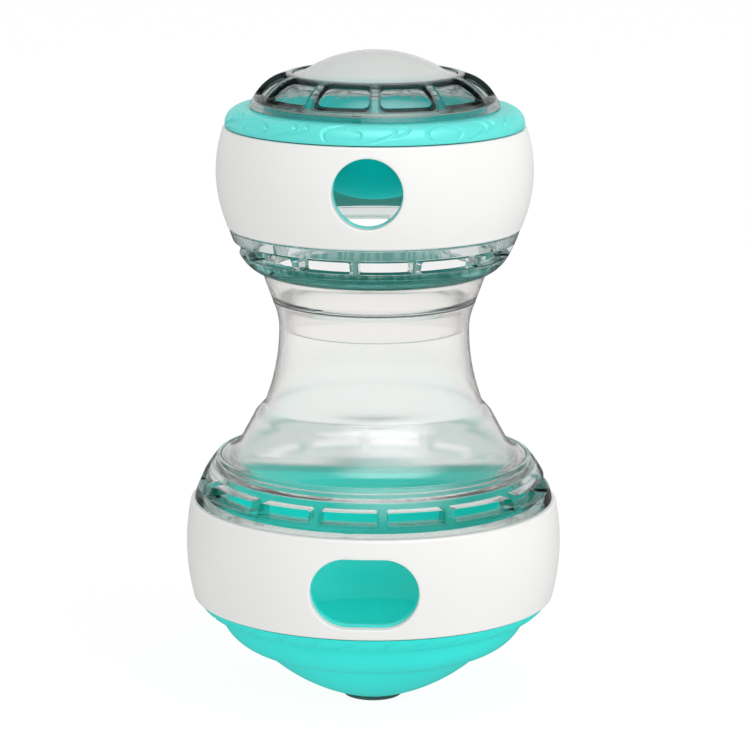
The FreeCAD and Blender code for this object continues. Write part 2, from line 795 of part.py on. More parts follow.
def rounded_wire(corners, radius):
    """A closed wire through the corners, each of them rounded by an arc."""
    arcs = []
    for number, here in enumerate(corners):
        back = corners[number - 1].sub(here).normalize()
        ahead = corners[(number + 1) % len(corners)].sub(here).normalize()
        half = back.getAngle(ahead) / 2
        reach = radius / math.tan(half)
        inward = back.add(ahead).normalize()
        middle = here + inward * (radius / math.sin(half) - radius)
        arcs.append((here + back * reach, middle, here + ahead * reach))
    edges = []
    for number, (start, middle, end) in enumerate(arcs):
        edges.append(Part.Arc(start, middle, end).toShape())
        edges.append(Part.LineSegment(end, arcs[(number + 1) % len(arcs)][0]).toShape())
    return Part.Wire(edges)


def window_cutter():
    """Cutter for the cap's window at the front; its walls lean in with the depth."""
    foot_point, head_point = at(cap_skirt_r, z_cap_slope), at(cap_top_r, z_cap_top)
    up = head_point.sub(foot_point).normalize()
    inward = FreeCAD.Vector(-up.z, 0, up.x)
    across = FreeCAD.Vector(0, 1, 0)
    half_pitch = math.sin(math.pi / window_count)
    low_half = (cap_skirt_r + up.x * window_foot) * half_pitch - window_bar / 2
    taper = up.x * half_pitch

    def corner(along, deep, side):
        half = low_half + taper * (along - window_foot) - window_side_draft * deep
        return foot_point + up * along + inward * deep + across * (side * half)

    above = cap_slope_bulge + spare
    wires = []
    for deep in (-above, window_reach):
        low = window_foot + window_low_draft * deep
        high = window_foot + window_length - window_top_draft * deep
        corners = [corner(low, deep, -1), corner(low, deep, 1), corner(high, deep, 1), corner(high, deep, -1)]
        wires.append(rounded_wire(corners, window_corner))
    return Part.makeLoft(wires, True, True)


def cap_ring():
    """Clear ring with sunken, glazed windows round its slope; its skirt hides the cup's flange."""
    slope0, slope1 = at(cap_skirt_r, z_cap_slope), at(cap_top_r, z_cap_top)
    centre, slope_r = arc_centre(slope0, slope1, cap_slope_bulge)
    inside_r = slope_r - cap_wall
    z_foot = z_cap_seal + cap_foot_height
    inner_foot = at(radius_at(centre, inside_r, z_foot), z_foot)
    inner_head = at(centre.x, centre.z + inside_r)
    middle = inner_foot.sub(centre).add(inner_head.sub(centre)).normalize()
    body = turned(
        at(cup_flange_r + seat_gap, z_cap),
        at(cap_rim_r, z_cap),
        slope0,
        (bulged(slope0, slope1, cap_slope_bulge), slope1),
        at(dome_seat_r, z_cap_top),
        at(dome_seat_r, z_dome),
        at(dome_hole_r, z_dome),
        at(dome_hole_r, inner_head.z),
        inner_head,
        (centre.add(middle.multiply(inside_r)), inner_foot),
        at(cup_flange_r - cap_foot_width, z_foot),
        at(cup_flange_r - cap_foot_width, z_cap_seal),
        at(cup_flange_r + seat_gap, z_cap_seal),
    )
    lug = mark(cap_lug_width, cap_skirt_r - cap_lug_root, cap_rim_r + cap_lug_stand, z_cap,
               z_cap + cap_lug_height, index_turn)
    body = body.fuse(lug)
    pane_r = inside_r + cap_pane
    behind = turned(
        at(0, z_foot),
        at(radius_at(centre, pane_r, z_foot), z_foot),
        (centre.add(middle.normalize().multiply(pane_r)), at(centre.x, centre.z + pane_r)),
        at(0, centre.z + pane_r),
    )
    cutter = window_cutter().cut(behind)
    pitch = 360 / window_count
    for number in range(window_count):
        body = body.cut(about_z(cutter, window_turn - 90 + pitch * (number + 0.5)))
    return body.removeSplitter()


def cap_dome():
    """Clear dome set in the cap's top, hollow below."""
    edge_r = dome_seat_r - seat_gap
    z_top = z_dome + dome_height
    z_ball = z_top - dome_ball_r

    def ball(r, ball_r):
        return at(r, z_ball + math.sqrt(ball_r ** 2 - r ** 2))

    edge = at(edge_r, z_dome + dome_flange_height)
    root = ball(dome_root_r, dome_ball_r)
    return turned(
        at(dome_foot_r, z_dome),
        at(edge_r, z_dome),
        edge,
        (bulged(edge, root, -dome_root_hollow), root),
        (ball(dome_root_r / 2, dome_ball_r), at(0, z_top)),
        at(0, z_top - dome_wall),
        (ball(dome_foot_r / 2, dome_inside_r), at(dome_foot_r, z_dome)),
    )


PIECES = (
    foot, base_shell, weight, weight_cover, cover_screws, lower_friction_ring,
    lower_band, base_seal, lower_vent_ring, lower_neck, neck_seal, upper_neck,
    upper_vent_ring, upper_band, upper_shell, upper_friction_ring, inner_cup,
    cap_seal, cap_ring, cap_dome,
)

for piece in PIECES:
    shape = piece()
    shape.exportStep("parts/" + piece.__name__ + ".step")
    print(piece.__name__, round(shape.Volume / 1000, 2), "cm3", "solids", len(shape.Solids),
          "valid" if shape.isValid() else "NOT VALID")
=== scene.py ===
import math
from types import SimpleNamespace

import bmesh
import bpy
import numpy as np
from mathutils import Matrix, Vector


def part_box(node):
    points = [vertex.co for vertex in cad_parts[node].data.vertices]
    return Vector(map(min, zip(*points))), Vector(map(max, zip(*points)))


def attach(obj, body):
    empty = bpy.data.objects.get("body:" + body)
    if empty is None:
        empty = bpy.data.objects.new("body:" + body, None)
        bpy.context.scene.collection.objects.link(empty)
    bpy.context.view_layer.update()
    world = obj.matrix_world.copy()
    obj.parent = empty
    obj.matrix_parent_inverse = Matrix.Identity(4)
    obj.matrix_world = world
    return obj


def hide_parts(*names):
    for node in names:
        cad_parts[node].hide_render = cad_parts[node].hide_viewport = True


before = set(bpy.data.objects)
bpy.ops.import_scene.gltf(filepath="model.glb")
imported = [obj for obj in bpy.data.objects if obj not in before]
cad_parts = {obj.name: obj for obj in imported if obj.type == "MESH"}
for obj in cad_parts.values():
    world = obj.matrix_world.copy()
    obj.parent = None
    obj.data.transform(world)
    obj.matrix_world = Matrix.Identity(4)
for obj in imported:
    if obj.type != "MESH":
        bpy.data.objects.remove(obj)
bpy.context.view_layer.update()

# Everything is worked out in millimetres and written to the meshes in metres.
# Angles round the axis are 0 at the front (-Y) and grow towards +X.
mm = 0.001
marks = {
    "indexTurn": math.radians(-5.5),        # index marks of the lower ring and the cap
    "neckTurn": math.radians(-29.3),        # notch in the neck's seam
    "edgeStep": 0.05,                       # a mark's side lies between columns this far off it
}
meshing = {
    "mergeGap": 0.003,                      # vertices nearer than this become one
    "sameGap": 1e-4,                        # an outline's parts nearer than this need nothing between them
    "bends": np.linspace(0, 1, 6),          # places along a rounded corner
    "beside": 1.3,                          # no row is nearer to a rounding than this times its size
    "patchPower": 0.8,                      # draws a hole's rings together towards its outline
    "wallShares": (0.1, 0.37, 0.63, 0.9),   # rings down a hole's wall
    "paneShares": (1.0, 0.8, 0.55, 0.3, 0.0),
}


def span(node):
    # lowest height, highest height and outer radius of a CAD node, in mm
    low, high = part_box(node)
    return low.z / mm, high.z / mm, high.x / mm


# Outlines: rows of (r, z)

def straight(start, end, count=2):
    # point(t) = start + t (end - start)
    return np.linspace(np.array(start, float), np.array(end, float), count)


def upright(r, heights):
    # points above one another at one radius
    return np.column_stack([np.full(len(heights), r), heights])


def circleRadius(bulge, half):
    # of the circle that stands out by bulge over half a chord: R = (half^2 + bulge^2) / (2 bulge)
    return (half ** 2 + bulge ** 2) / (2 * bulge)


def arc(start, end, bulge, count):
    # circle arc that stands out by bulge to the right of the way from start to end:
    # point(t) = centre + R sin(t h) along + R cos(t h) side, t from -1 to 1
    start, end = np.array(start, float), np.array(end, float)
    length = np.hypot(*(end - start))
    along = (end - start) / length
    side = np.array([along[1], -along[0]])
    radius = circleRadius(bulge, length / 2)
    half = math.asin(min(1.0, length / 2 / abs(radius)))
    angle = np.linspace(-half, half, count)
    centre = (start + end) / 2 + side * (bulge - radius)
    return centre + np.outer(np.sin(angle) * abs(radius), along) + np.outer(np.cos(angle) * radius, side)


quarterBulge = 1 - math.sqrt(0.5)           # how far a quarter circle of radius 1 stands out


def circlePart(centre, radius, start, end, count):
    # point(t) = centre + R (cos t, sin t), angles in degrees
    angle = np.radians(np.linspace(start, end, count))
    return np.array(centre, float) + radius * np.stack([np.cos(angle), np.sin(angle)], axis=1)


def lengthsAlong(points):
    # distance from the first point to each point along the line
    return np.concatenate([[0.0], np.cumsum(np.hypot(*np.diff(points, axis=0).T))])


def stretchesOf(parts, closed):
    # the parts are curves and corners (r, z) or (r, z, points); a straight stretch, of that many points
    # or of two, leads to each corner and to each curve that starts somewhere else
    stretches, end = [], None
    for part in [*parts, parts[0]] if closed else parts:
        curve = isinstance(part, np.ndarray)
        start = part[0] if curve else np.array(part[:2], float)
        if end is not None and np.hypot(*(start - end)) > meshing["sameGap"]:
            stretches.append(straight(end, start, *(() if curve else part[2:])))
        if curve:
            stretches.append(part)
        end = part[-1] if curve else start
    return stretches


def bend(start, corner, end, shares):
    # point(t) = (1-t)^2 start + 2t(1-t) corner + t^2 end
    return [(1 - t) ** 2 * start + 2 * t * (1 - t) * corner + t ** 2 * end for t in shares]


def joined(parts, rounding, closed=True):
    # the outline's stretches in turn, each corner between two of them bent round, with one more row
    # beside each rounding; rounding is one size for all, or a list with the corner after each stretch
    stretches = stretchesOf(parts, closed)
    last, beside = len(stretches) - 1, meshing["beside"]
    sizes = [rounding] * len(stretches) if np.isscalar(rounding) else rounding
    trimmed = []
    for number, stretch in enumerate(stretches):
        s = lengthsAlong(stretch)
        before, after = min(sizes[number - 1], s[-1] / 3), min(sizes[number], s[-1] / 3)
        first = 0.0 if (not closed and number == 0) else before
        final = s[-1] if (not closed and number == last) else s[-1] - after
        inside = s[(s > first + beside * before) & (s < final - beside * after)]
        support = [first + before, final - after] if final - first > 1.25 * (before + after) else []
        places = np.unique(np.concatenate([[first, final], support, inside]))
        trimmed.append(np.column_stack([np.interp(places, s, stretch[:, k]) for k in (0, 1)]))
    rows = []
    for number, points in enumerate(trimmed):
        rows.append(points)
        if closed or number < last:
            after = trimmed[(number + 1) % len(trimmed)]
            rows.append(np.array(bend(points[-1], stretches[number][-1], after[0], meshing["bends"][1:-1])))
    return np.concatenate(rows)


def rowNear(section, r, z):
    # number of the outline's row that lies nearest to a point
    return int(np.argmin(np.hypot(section[:, 0] - r, section[:, 1] - z)))


# Surfaces of revolution

def evenTurns(count):
    # angles round the axis, starting at the back
    return -math.pi + 2 * math.pi * np.arange(count) / count


def carried(r, z, a):
    # (r, z) carried round the axis: x = r sin a, y = -r cos a, z
    return np.stack([r * np.sin(a), -r * np.cos(a), z + 0 * a], axis=-1)


def turnedGrid(section, turns):
    # every point of the outline carried to every turn
    return carried(section[:, :1], section[:, 1:], np.asarray(turns)[None, :])


def gridFaces(rows, columns, closedRows=False, dropped=None):
    # corner numbers of every cell of a grid whose columns close into a ring
    i, j = np.meshgrid(np.arange(rows if closedRows else rows - 1), np.arange(columns), indexing="ij")
    if dropped is not None:
        keep = ~dropped[i, j]
        i, j = i[keep], j[keep]
    up, right = (i + 1) % rows, (j + 1) % columns
    corners = [i * columns + j, i * columns + right, up * columns + right, up * columns + j]
    return np.stack(corners, axis=-1).reshape(-1, 4)


def newHole(v, **given):
    # a hole's settings: the columns and rows of cells that it takes the place of, its middle on the outer
    # and the inner face, its half size, and from the piece's values corner radius, edge rounding in mm
    # and the shares of painted shade on its wall and round it
    shared = {key: value for key, value in vars(v).items() if key in ("corner", "edge", "shade", "rimShade")}
    return SimpleNamespace(**{
        "turn": 0.0, "unrolled": None, "pane": None, "innerSize": given["size"], "innerEdge": v.edge,
        "taper": (0.0, 0.0), "patchRows": 2, "shade": 0.0, "rimShade": 0.0, **shared, **given})


def roundedBox(s, t, size, corner, taper, grow):
    # a square's edge point (s, t) moved to a box of half size (w, h) with rounded corners:
    # core + (corner + grow) n, where n points from the nearest point of the core
    across, up = s * size[0], t * size[1]
    coreX, coreY = max(size[0] - corner, 0.0), max(size[1] - corner, 0.0)
    nearX, nearY = np.clip(across, -coreX, coreX), np.clip(up, -coreY, coreY)
    outX, outY = across - nearX, up - nearY
    length = np.maximum(np.hypot(outX, outY), 1e-9)
    x = nearX + (corner + grow) * outX / length
    y = nearY + (corner + grow) * outY / length
    return x * (1 - taper * y), y


def onFace(face, turn, u, v, unrolled):
    # the point of a turned face at a distance u across and at v up the face:
    # a = turn + arcsin(u / r) straight through, or turn + u / R along the ring
    r, z = np.interp(v, face[:, 2], face[:, 0]), np.interp(v, face[:, 2], face[:, 1])
    return carried(r, z, turn + (u / unrolled if unrolled else np.arcsin(np.clip(u / r, -1, 1))))


def blockEdge(across, up):
    # values across and up a block of cells, read once round its edge
    wide, tall = len(across) - 1, len(up) - 1
    return (np.concatenate([across[:-1], np.repeat(across[-1], tall), across[:0:-1], np.repeat(across[0], tall)]),
            np.concatenate([np.repeat(up[0], wide), up[:-1], np.repeat(up[-1], wide), up[:0:-1]]))


def holeGrid(section, turns, hole):
    # rings from the outer face's cells down through the hole to the inner face's cells,
    # or to the middle of a pane where the hole is only sunken, and the share of painted shade of each ring;
    # v is the height, or the length along the face where the hole goes into a slope
    columns = np.arange(hole.columns[0], hole.columns[1] + 1)
    around = turns[columns % len(turns)] + 2 * math.pi * (columns // len(turns)) - hole.turn
    sunken = hole.pane is not None
    faces, edges = [], []
    for first, final in (hole.outerRows, hole.innerRows):
        rows = np.arange(first, final + 1) if final > first else np.arange(first, final - 1, -1)
        r, z = section[rows].T
        v = lengthsAlong(section[rows]) if sunken else z
        loopS, loopT = blockEdge(2 * (around - around[0]) / (around[-1] - around[0]) - 1,
                                 2 * (v - v[0]) / (v[-1] - v[0]) - 1)
        (loopA, loopR), loopV = blockEdge(around, r), blockEdge(around, v)[1]
        faces.append(np.column_stack([r, z, v]))
        edges.append((loopA * hole.unrolled if hole.unrolled else loopR * np.sin(loopA), loopV))
    if sunken:
        faces[1] = hole.pane

    def outline(side, grow):
        size = (hole.size, hole.innerSize)[side]
        x, y = roundedBox(loopS, loopT, size, min(hole.corner, *size), hole.taper[side], grow)
        return x, y + hole.centre[side]

    def ring(side, share, grow):
        # share 0 is the edge of the cells, 1 the hole's outline grown by grow
        x, y = (edge * (1 - share) + line * share for edge, line in zip(edges[side], outline(side, grow)))
        return onFace(faces[side], hole.turn, x, y, hole.unrolled)

    shares = np.linspace(0, 1, hole.patchRows + 1) ** meshing["patchPower"]
    bends = meshing["bends"][1:]
    rings = [ring(0, share, hole.edge) for share in shares]
    outer, inner = ring(0, 1, 0), ring(1, 1, 0)
    inward = (inner - outer) / np.linalg.norm(inner - outer, axis=1)[:, None]
    deep, shallow = outer + hole.edge * inward, inner - hole.innerEdge * inward
    lip = ring(1, 1, -hole.innerEdge if sunken else hole.innerEdge)
    rings += bend(rings[-1], outer, deep, bends)
    wallStart = len(rings) - 1
    rings += [deep * (1 - t) + shallow * t for t in meshing["wallShares"]] + [shallow]
    wallEnd = len(rings)
    rings += bend(shallow, inner, lip, bends[:-1])
    if sunken:
        x, y = outline(1, -hole.innerEdge)
        middle = hole.centre[1]
        rings += [onFace(hole.pane, hole.turn, x * k, (y - middle) * k + middle, hole.unrolled)
                  for k in meshing["paneShares"]]
    else:
        rings += [ring(1, share, hole.innerEdge) for share in shares[::-1]]
    # painted shade on the rings round the opening and on the wall
    shade = np.zeros((len(rings), len(loopS)))
    shade[1:wallStart] = hole.rimShade
    shade[wallStart:wallEnd] = hole.shade
    return np.stack(rings), shade


def dropCells(dropped, hole):
    # marks the cells that a hole's grid takes the place of
    columns = np.arange(*hole.columns) % dropped.shape[1]
    for rows in [hole.outerRows] if hole.pane is not None else [hole.outerRows, hole.innerRows]:
        dropped[np.ix_(np.arange(min(rows), max(rows)), columns)] = True


def markTurns(turn, width, radius):
    # columns just inside and just outside both sides of a small mark
    half, step = width / 2 / radius, marks["edgeStep"] / radius
    return turn + np.array([-half - step, -half + step, 0.0, half - step, half + step])


def marked(turn, width, heights, least, radius):
    # moves the points beyond the radius least, inside a small upright block, to one radius:
    # a notch where that lies inside the face, a lug where it lies outside
    def reshape(points):
        x, y, z = points[..., 0], points[..., 1], points[..., 2]
        r, a = np.hypot(x, y), np.arctan2(x, -y)
        across = r * ((a - turn + math.pi) % (2 * math.pi) - math.pi)
        inside = (np.abs(across) < width / 2) & (z > heights[0]) & (z < heights[1]) & (r > least)
        scale = np.where(inside, radius / np.maximum(r, least), 1.0)
        return np.stack([x * scale, y * scale, z], axis=-1)
    return reshape


def meshPiece(name, patches, body, node, material):
    # patches: vertex array, faces and, where a wall gets painted shade, its share of painted shade;
    # doubles are merged and faces turned outwards
    vertices, faces, shades, start = [], [], [], 0
    for points, corners, *shade in patches:
        points = np.asarray(points, float).reshape(-1, 3)
        vertices.append(points)
        shades.append(shade[0].ravel() if shade else np.zeros(len(points)))
        faces.extend((corners + start).tolist())
        start += len(points)
    mesh = bpy.data.meshes.new(name)
    mesh.from_pydata(np.concatenate(vertices) * mm, [], faces)
    # each point's share of painted shade, for the clear finishes
    if any(shade.any() for shade in shades):
        mesh.attributes.new("paintedWallShade", "FLOAT", "POINT").data.foreach_set("value", np.concatenate(shades))
    work = bmesh.new()
    work.from_mesh(mesh)
    bmesh.ops.remove_doubles(work, verts=work.verts, dist=meshing["mergeGap"] * mm)
    bmesh.ops.recalc_face_normals(work, faces=work.faces)
    openEdges = sum(1 for edge in work.edges if len(edge.link_faces) != 2)
    if work.calc_volume(signed=True) < 0:
        bmesh.ops.reverse_faces(work, faces=work.faces)
    work.to_mesh(mesh)
    work.free()
    mesh.shade_smooth()
    mesh.materials.append(finishes[material])
    piece = bpy.data.objects.new(name, mesh)
    bpy.context.scene.collection.objects.link(piece)
    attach(piece, body)
    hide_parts(node)
    print(f"{name}: {len(mesh.polygons)} faces, {openEdges} open edges")


def holePatches(section, turns, holes):
    # the grid of each hole
    for hole in holes:
        rings, shade = holeGrid(section, turns, hole)
        yield rings, gridFaces(*rings.shape[:2]), shade


def turnedPatches(section, turns, holes=(), closed=True, reshape=None, shades=None):
    # a turned section with its holes; reshape may move the points of the whole grid,
    # and shades gives each row's share of painted shade
    dropped = np.zeros((len(section), len(turns)), bool)
    for hole in holes:
        dropCells(dropped, hole)
    points = turnedGrid(section, turns)
    if reshape:
        points = reshape(points)
    shades = np.zeros(len(section)) if shades is None else shades
    grid = points, gridFaces(len(section), len(turns), closed, dropped), np.repeat(shades, len(turns))
    return [grid, *holePatches(section, turns, holes)]


def fineZonePatches(section, turns, firstRow, finalRow, fold, relief, hole):
    # a closed turned section whose rows firstRow..finalRow have fold times as many columns,
    # moved along the outline's normal by relief(turn, share of the way up, length of the zone)
    count = len(turns)
    low = np.concatenate([section[finalRow:], section[:firstRow + 1]])
    for key in ("outerRows", "innerRows"):
        setattr(hole, key, tuple((row - finalRow) % len(section) for row in getattr(hole, key)))
    dropped = np.zeros((len(low), count), bool)
    dropped[[0, -2]] = True
    dropCells(dropped, hole)
    coarse = turnedGrid(low, turns)
    fineTurns = evenTurns(count * fold)
    zone = section[firstRow:finalRow + 1]
    s = lengthsAlong(zone)
    tangent = np.gradient(zone, s, axis=0)
    tangent /= np.hypot(*tangent.T)[:, None]
    height = relief(fineTurns[None, :], (s / s[-1])[:, None], s[-1])
    fine = carried(zone[:, :1] + tangent[:, 1:] * height, zone[:, 1:] - tangent[:, :1] * height, fineTurns)
    patches = [(coarse, gridFaces(len(low), count, False, dropped)), *holePatches(low, turns, [hole]),
               (fine, gridFaces(len(zone), count * fold))]
    # faces with one coarse side and fold fine ones close the zone below and above
    columns = np.arange(count)
    corners = [columns, (columns + 1) % count]
    corners += [count + (fold * (columns + 1) - k) % (count * fold) for k in range(fold + 1)]
    for coarseRow, fineRow in ((-2, 0), (1, -1)):
        patches.append((np.concatenate([coarse[coarseRow], fine[fineRow]]), np.stack(corners, axis=-1)))
    return patches


def turnedPiece(name, section, turns, body, slot, node, finish, **how):
    # a whole piece from one outline
    meshPiece(name, turnedPatches(section, turns, **how), body, node, finish)


# Materials

def linear(code):
    # sRGB hex to linear: c / 12.92 below 0.04045, else ((c + 0.055) / 1.055) ^ 2.4
    parts = [int(code[k:k + 2], 16) / 255 for k in (1, 3, 5)]
    return tuple(c / 12.92 if c <= 0.04045 else ((c + 0.055) / 1.055) ** 2.4 for c in parts) + (1.0,)


def addNode(tree, kind, values=None, links=None, **settings):
    # one node with its settings, socket values and incoming links
    node = tree.nodes.new(kind)
    for key, value in settings.items():
        setattr(node, key, value)
    for key, value in (values or {}).items():
        node.inputs[key].default_value = value
    for key, source in (links or {}).items():
        tree.links.new(source, node.inputs[key])
    return node


def newMaterial(name):
    material = bpy.data.materials.new(name)
    material.use_nodes = True
    tree = material.node_tree
    tree.nodes.clear()
    place = addNode(tree, "ShaderNodeTexCoord").outputs["Object"]
    return material, tree, place


def finished(material, shader, inside=None):
    # joins the surface, and what fills the body, to the output
    links = {"Surface": shader.outputs[0], **({"Volume": inside.outputs[0]} if inside else {})}
    addNode(material.node_tree, "ShaderNodeOutputMaterial", links=links)
    return material


def noiseAt(tree, place, sizeMm, detail=2.0):
    # noise whose blotches are about sizeMm across, in metres of object space
    return addNode(tree, "ShaderNodeTexNoise", {"Scale": 1 / (sizeMm * mm), "Detail": detail, "Roughness": 0.5},
                   {"Vector": place}).outputs["Fac"]


def between(tree, factor, low, high, start=0.3, end=0.7):
    # maps a noise value to the range low..high
    return addNode(tree, "ShaderNodeMapRange", {"From Min": start, "From Max": end, "To Min": low, "To Max": high},
                   {"Value": factor}).outputs["Result"]


def mixed(tree, factor, first, second):
    # goes from the first hex colour to the second with the factor
    return addNode(tree, "ShaderNodeMix", {"A": linear(first), "B": linear(second)}, {"Factor": factor},
                   data_type="RGBA").outputs["Result"]


def bumped(tree, height, strength, distanceMm):
    return addNode(tree, "ShaderNodeBump", {"Strength": strength, "Distance": distanceMm * mm},
                   {"Height": height}).outputs["Normal"]


def mouldedPlastic(name, values, **changes):
    # injection-moulded plastic or rubber: faint texture from the tool, slow change of gloss where it cooled
    v = SimpleNamespace(**{**values, **changes})
    material, tree, place = newMaterial(name)
    flow = noiseAt(tree, place, v.flowMm)
    grain = noiseAt(tree, place, v.grainMm)
    shader = addNode(tree, "ShaderNodeBsdfPrincipled", {
        "IOR": v.ior, "Subsurface Weight": v.subsurface, "Subsurface Radius": v.spread,
        "Subsurface Scale": v.milkMm * mm,
    }, {
        "Base Color": mixed(tree, between(tree, flow, 0.0, 1.0), v.colour, v.shade),
        "Roughness": between(tree, grain, v.rough - v.roughSpan, v.rough + v.roughSpan),
        "Normal": bumped(tree, grain, v.bump, v.bumpMm)})
    return finished(material, shader)


def clearPlastic(name, values, **changes):
    # clear moulded plastic: refracting body whose tint grows with the thickness that light crosses,
    # under a smooth skin that mirrors the room; the lamps' light goes through it, so what lies behind it
    # isn't left dark. Where the mesh marks it, painted shade darkens the colour and thins the coat: on the walls of
    # cut-outs, round them and on a thick foot
    v = SimpleNamespace(**{**values, **changes})
    material, tree, place = newMaterial(name)
    grain = noiseAt(tree, place, v.grainMm)
    links = {"Roughness": between(tree, grain, v.rough * (1 - v.roughShare), v.rough * (1 + v.roughShare)),
             "Normal": bumped(tree, noiseAt(tree, place, v.waveMm, 1.5), v.bump, v.bumpMm)}
    # painted shade: the mesh's share of it moves the colour towards the wall colour and takes away the coat
    if v.wall:
        wall = addNode(tree, "ShaderNodeAttribute", attribute_name="paintedWallShade").outputs["Fac"]
        links["Base Color"] = mixed(tree, wall, v.skin, v.wall)
        links["Coat Weight"] = between(tree, wall, v.coat, 0.0, 0.0, 1.0)
    shader = addNode(tree, "ShaderNodeBsdfPrincipled", {
        "Base Color": linear(v.skin), "IOR": v.ior, "Transmission Weight": v.clear, "Coat Weight": v.coat,
        "Coat Roughness": v.coatRough, "Coat IOR": v.coatIor}, links)
    through = addNode(tree, "ShaderNodeBsdfTransparent", {"Color": (v.lampShare,) * 3 + (1.0,)})
    lamp = addNode(tree, "ShaderNodeLightPath").outputs["Is Shadow Ray"]
    body = addNode(tree, "ShaderNodeMixShader", links={0: lamp, 1: shader.outputs[0], 2: through.outputs[0]})
    inside = addNode(tree, "ShaderNodeVolumeAbsorption", {"Color": linear(v.tint), "Density": v.densityPerMm / mm})
    return finished(material, body, inside)


def zincSteel(name, values):
    # zinc-plated steel: bluish grey metal with fine turning lines round the axis
    v = SimpleNamespace(**values)
    material, tree, place = newMaterial(name)
    squeezed = addNode(tree, "ShaderNodeMapping", {"Scale": (1.0, 1.0, v.squeeze)}, {"Vector": place})
    lines = noiseAt(tree, squeezed.outputs["Vector"], v.lineMm, 3.0)
    spangle = noiseAt(tree, place, v.spangleMm)
    shader = addNode(tree, "ShaderNodeBsdfPrincipled", {"Metallic": 1.0}, {
        "Base Color": mixed(tree, between(tree, spangle, 0.0, 1.0), v.colour, v.shade),
        "Roughness": between(tree, lines, *v.rough), "Normal": bumped(tree, lines, v.bump, v.bumpMm)})
    return finished(material, shader)


# ABS moulded in a polished tool: satin to glossy
absValues = {"flowMm": 30.0, "grainMm": 1.6, "rough": 0.33, "roughSpan": 0.03, "bump": 0.02, "bumpMm": 0.03,
             "ior": 1.5, "subsurface": 0.0, "spread": (0.6, 0.9, 1.0), "milkMm": 1.5}
# cast silicone rubber: soft sheen, faint dust-fine grain
siliconeValues = {**absValues, "flowMm": 12.0, "grainMm": 0.5, "rough": 0.5, "roughSpan": 0.06, "bump": 0.2,
                  "ior": 1.41}
# polycarbonate: softens what lies far behind it
clearValues = {"wall": None, "clear": 1.0, "roughShare": 0.04, "coat": 1.0, "coatRough": 0.1, "coatIor": 1.5,
               "grainMm": 2.5, "bumpMm": 0.25}
# smoked polycarbonate, polished, with painted shade on the walls of cut-outs
smokedValues = {**clearValues, "ior": 1.2, "rough": 0.04, "coatRough": 0.08, "waveMm": 6.0, "grainMm": 2.0,
                "bump": 0.25}
finishes = {
    # bright turquoise, for the bowl; a paler copy for the shoulder, with a painted highlight haze; from a matt tool
    # for the cup, which shows no gloss
    "turquoiseAbs": mouldedPlastic("turquoise moulded ABS", absValues, colour="#2cebe1", shade="#28e4da"),
    "turquoisePaintedHazeAbs": mouldedPlastic("turquoise moulded ABS with painted highlight", absValues, colour="#62e1da", shade="#5adbd4"),
    "mattTurquoiseAbs": mouldedPlastic("matt turquoise moulded ABS", absValues, colour="#06e8e6", shade="#04e2e0",
                                       rough=0.6, bump=0.0, ior=1.15),
    # white, satin; pale enough to need soft light
    "whiteAbs": mouldedPlastic("white moulded ABS", absValues, colour="#ececea", shade="#e8e8e6", flowMm=40.0,
                               grainMm=1.4, rough=0.42, roughSpan=0.04, bump=0.06),
    # almost colourless
    "clearPc": clearPlastic("clear moulded polycarbonate", clearValues, skin="#fcfcfb", tint="#e8dedb",
                            densityPerMm=0.035, ior=1.15, rough=0.2, waveMm=16.0, bump=0.12, lampShare=1.0),
    # the dome's: hazy, light grey
    "hazyPc": clearPlastic("hazy moulded polycarbonate", clearValues, skin="#fffcfa", tint="#e6e2e0", clear=0.75,
                           densityPerMm=0.05, ior=1.2, rough=0.29, waveMm=10.0, bump=0.15, lampShare=0.9),
    # the cap's: grey-green where it is thick; its wall colour is painted shade for the windows' walls and rims
    "smokedPc": clearPlastic("smoked moulded polycarbonate", smokedValues, skin="#e6e9e8", wall="#223130",
                             tint="#9cb8b5", densityPerMm=0.17, coat=0.6, waveMm=4.0, bump=0.4, lampShare=0.9),
    # the upper ring's: more green; its wall colour is painted shade for the foot and the slots
    "deepSmokedPc": clearPlastic("green smoked moulded polycarbonate", smokedValues, skin="#f2f2f1", wall="#459f96",
                                 tint="#9cc2bf", densityPerMm=0.035, lampShare=0.85),
    # the lower ring's: less smoke; its wall colour is painted shade for the slots
    "lightSmokedPc": clearPlastic("light smoked moulded polycarbonate", smokedValues, skin="#f6f6f5", wall="#7db5ad",
                                  tint="#a9c2bf", densityPerMm=0.06, ior=1.12, rough=0.05, coat=0.6, coatRough=0.12,
                                  lampShare=0.95),
    # milky; with grey pigment it is the dark line of the neck's seam
    "silicone": mouldedPlastic("translucent silicone rubber", siliconeValues, colour="#dfe3e1", shade="#d6dbd9",
                               subsurface=0.3),
    "greySilicone": mouldedPlastic("grey silicone rubber", siliconeValues, colour="#5f6462", shade="#565b59"),
    # carbon-filled rubber: dark green-grey, dull, pebbled
    "footRubber": mouldedPlastic("dark rubber", absValues, colour="#2a5c57", shade="#234d49", flowMm=6.0,
                                 grainMm=0.6, rough=0.55, roughSpan=0.08, bump=0.4, bumpMm=0.06),
    "zincSteel": zincSteel("zinc-plated turned steel", {
        "colour": "#b9bec2", "shade": "#a3a9ae", "lineMm": 1.2, "squeeze": 12.0, "spangleMm": 5.0,
        "rough": (0.25, 0.42), "bump": 0.2, "bumpMm": 0.02}),
}
print("finishes:", len(finishes))


# Treat holes: stadium below, round above, through the bands and the liners behind them

treatHoles = {
    # height of the middle, half width and half height, and the least room to the next rows of cells
    "lower": {"z": span("lower_band")[0] + 12.9, "half": (14.65, 9.7), "margin": 1.05},
    "upper": {"z": span("upper_band")[0] + 15.3, "half": (9.5, 9.5), "margin": 0.9},
    # how much smaller the hole is all round, and the rounding of its edge
    "band": {"lip": 0.0, "edge": 0.7},
    "liner": {"lip": 0.2, "edge": 0.4},
}


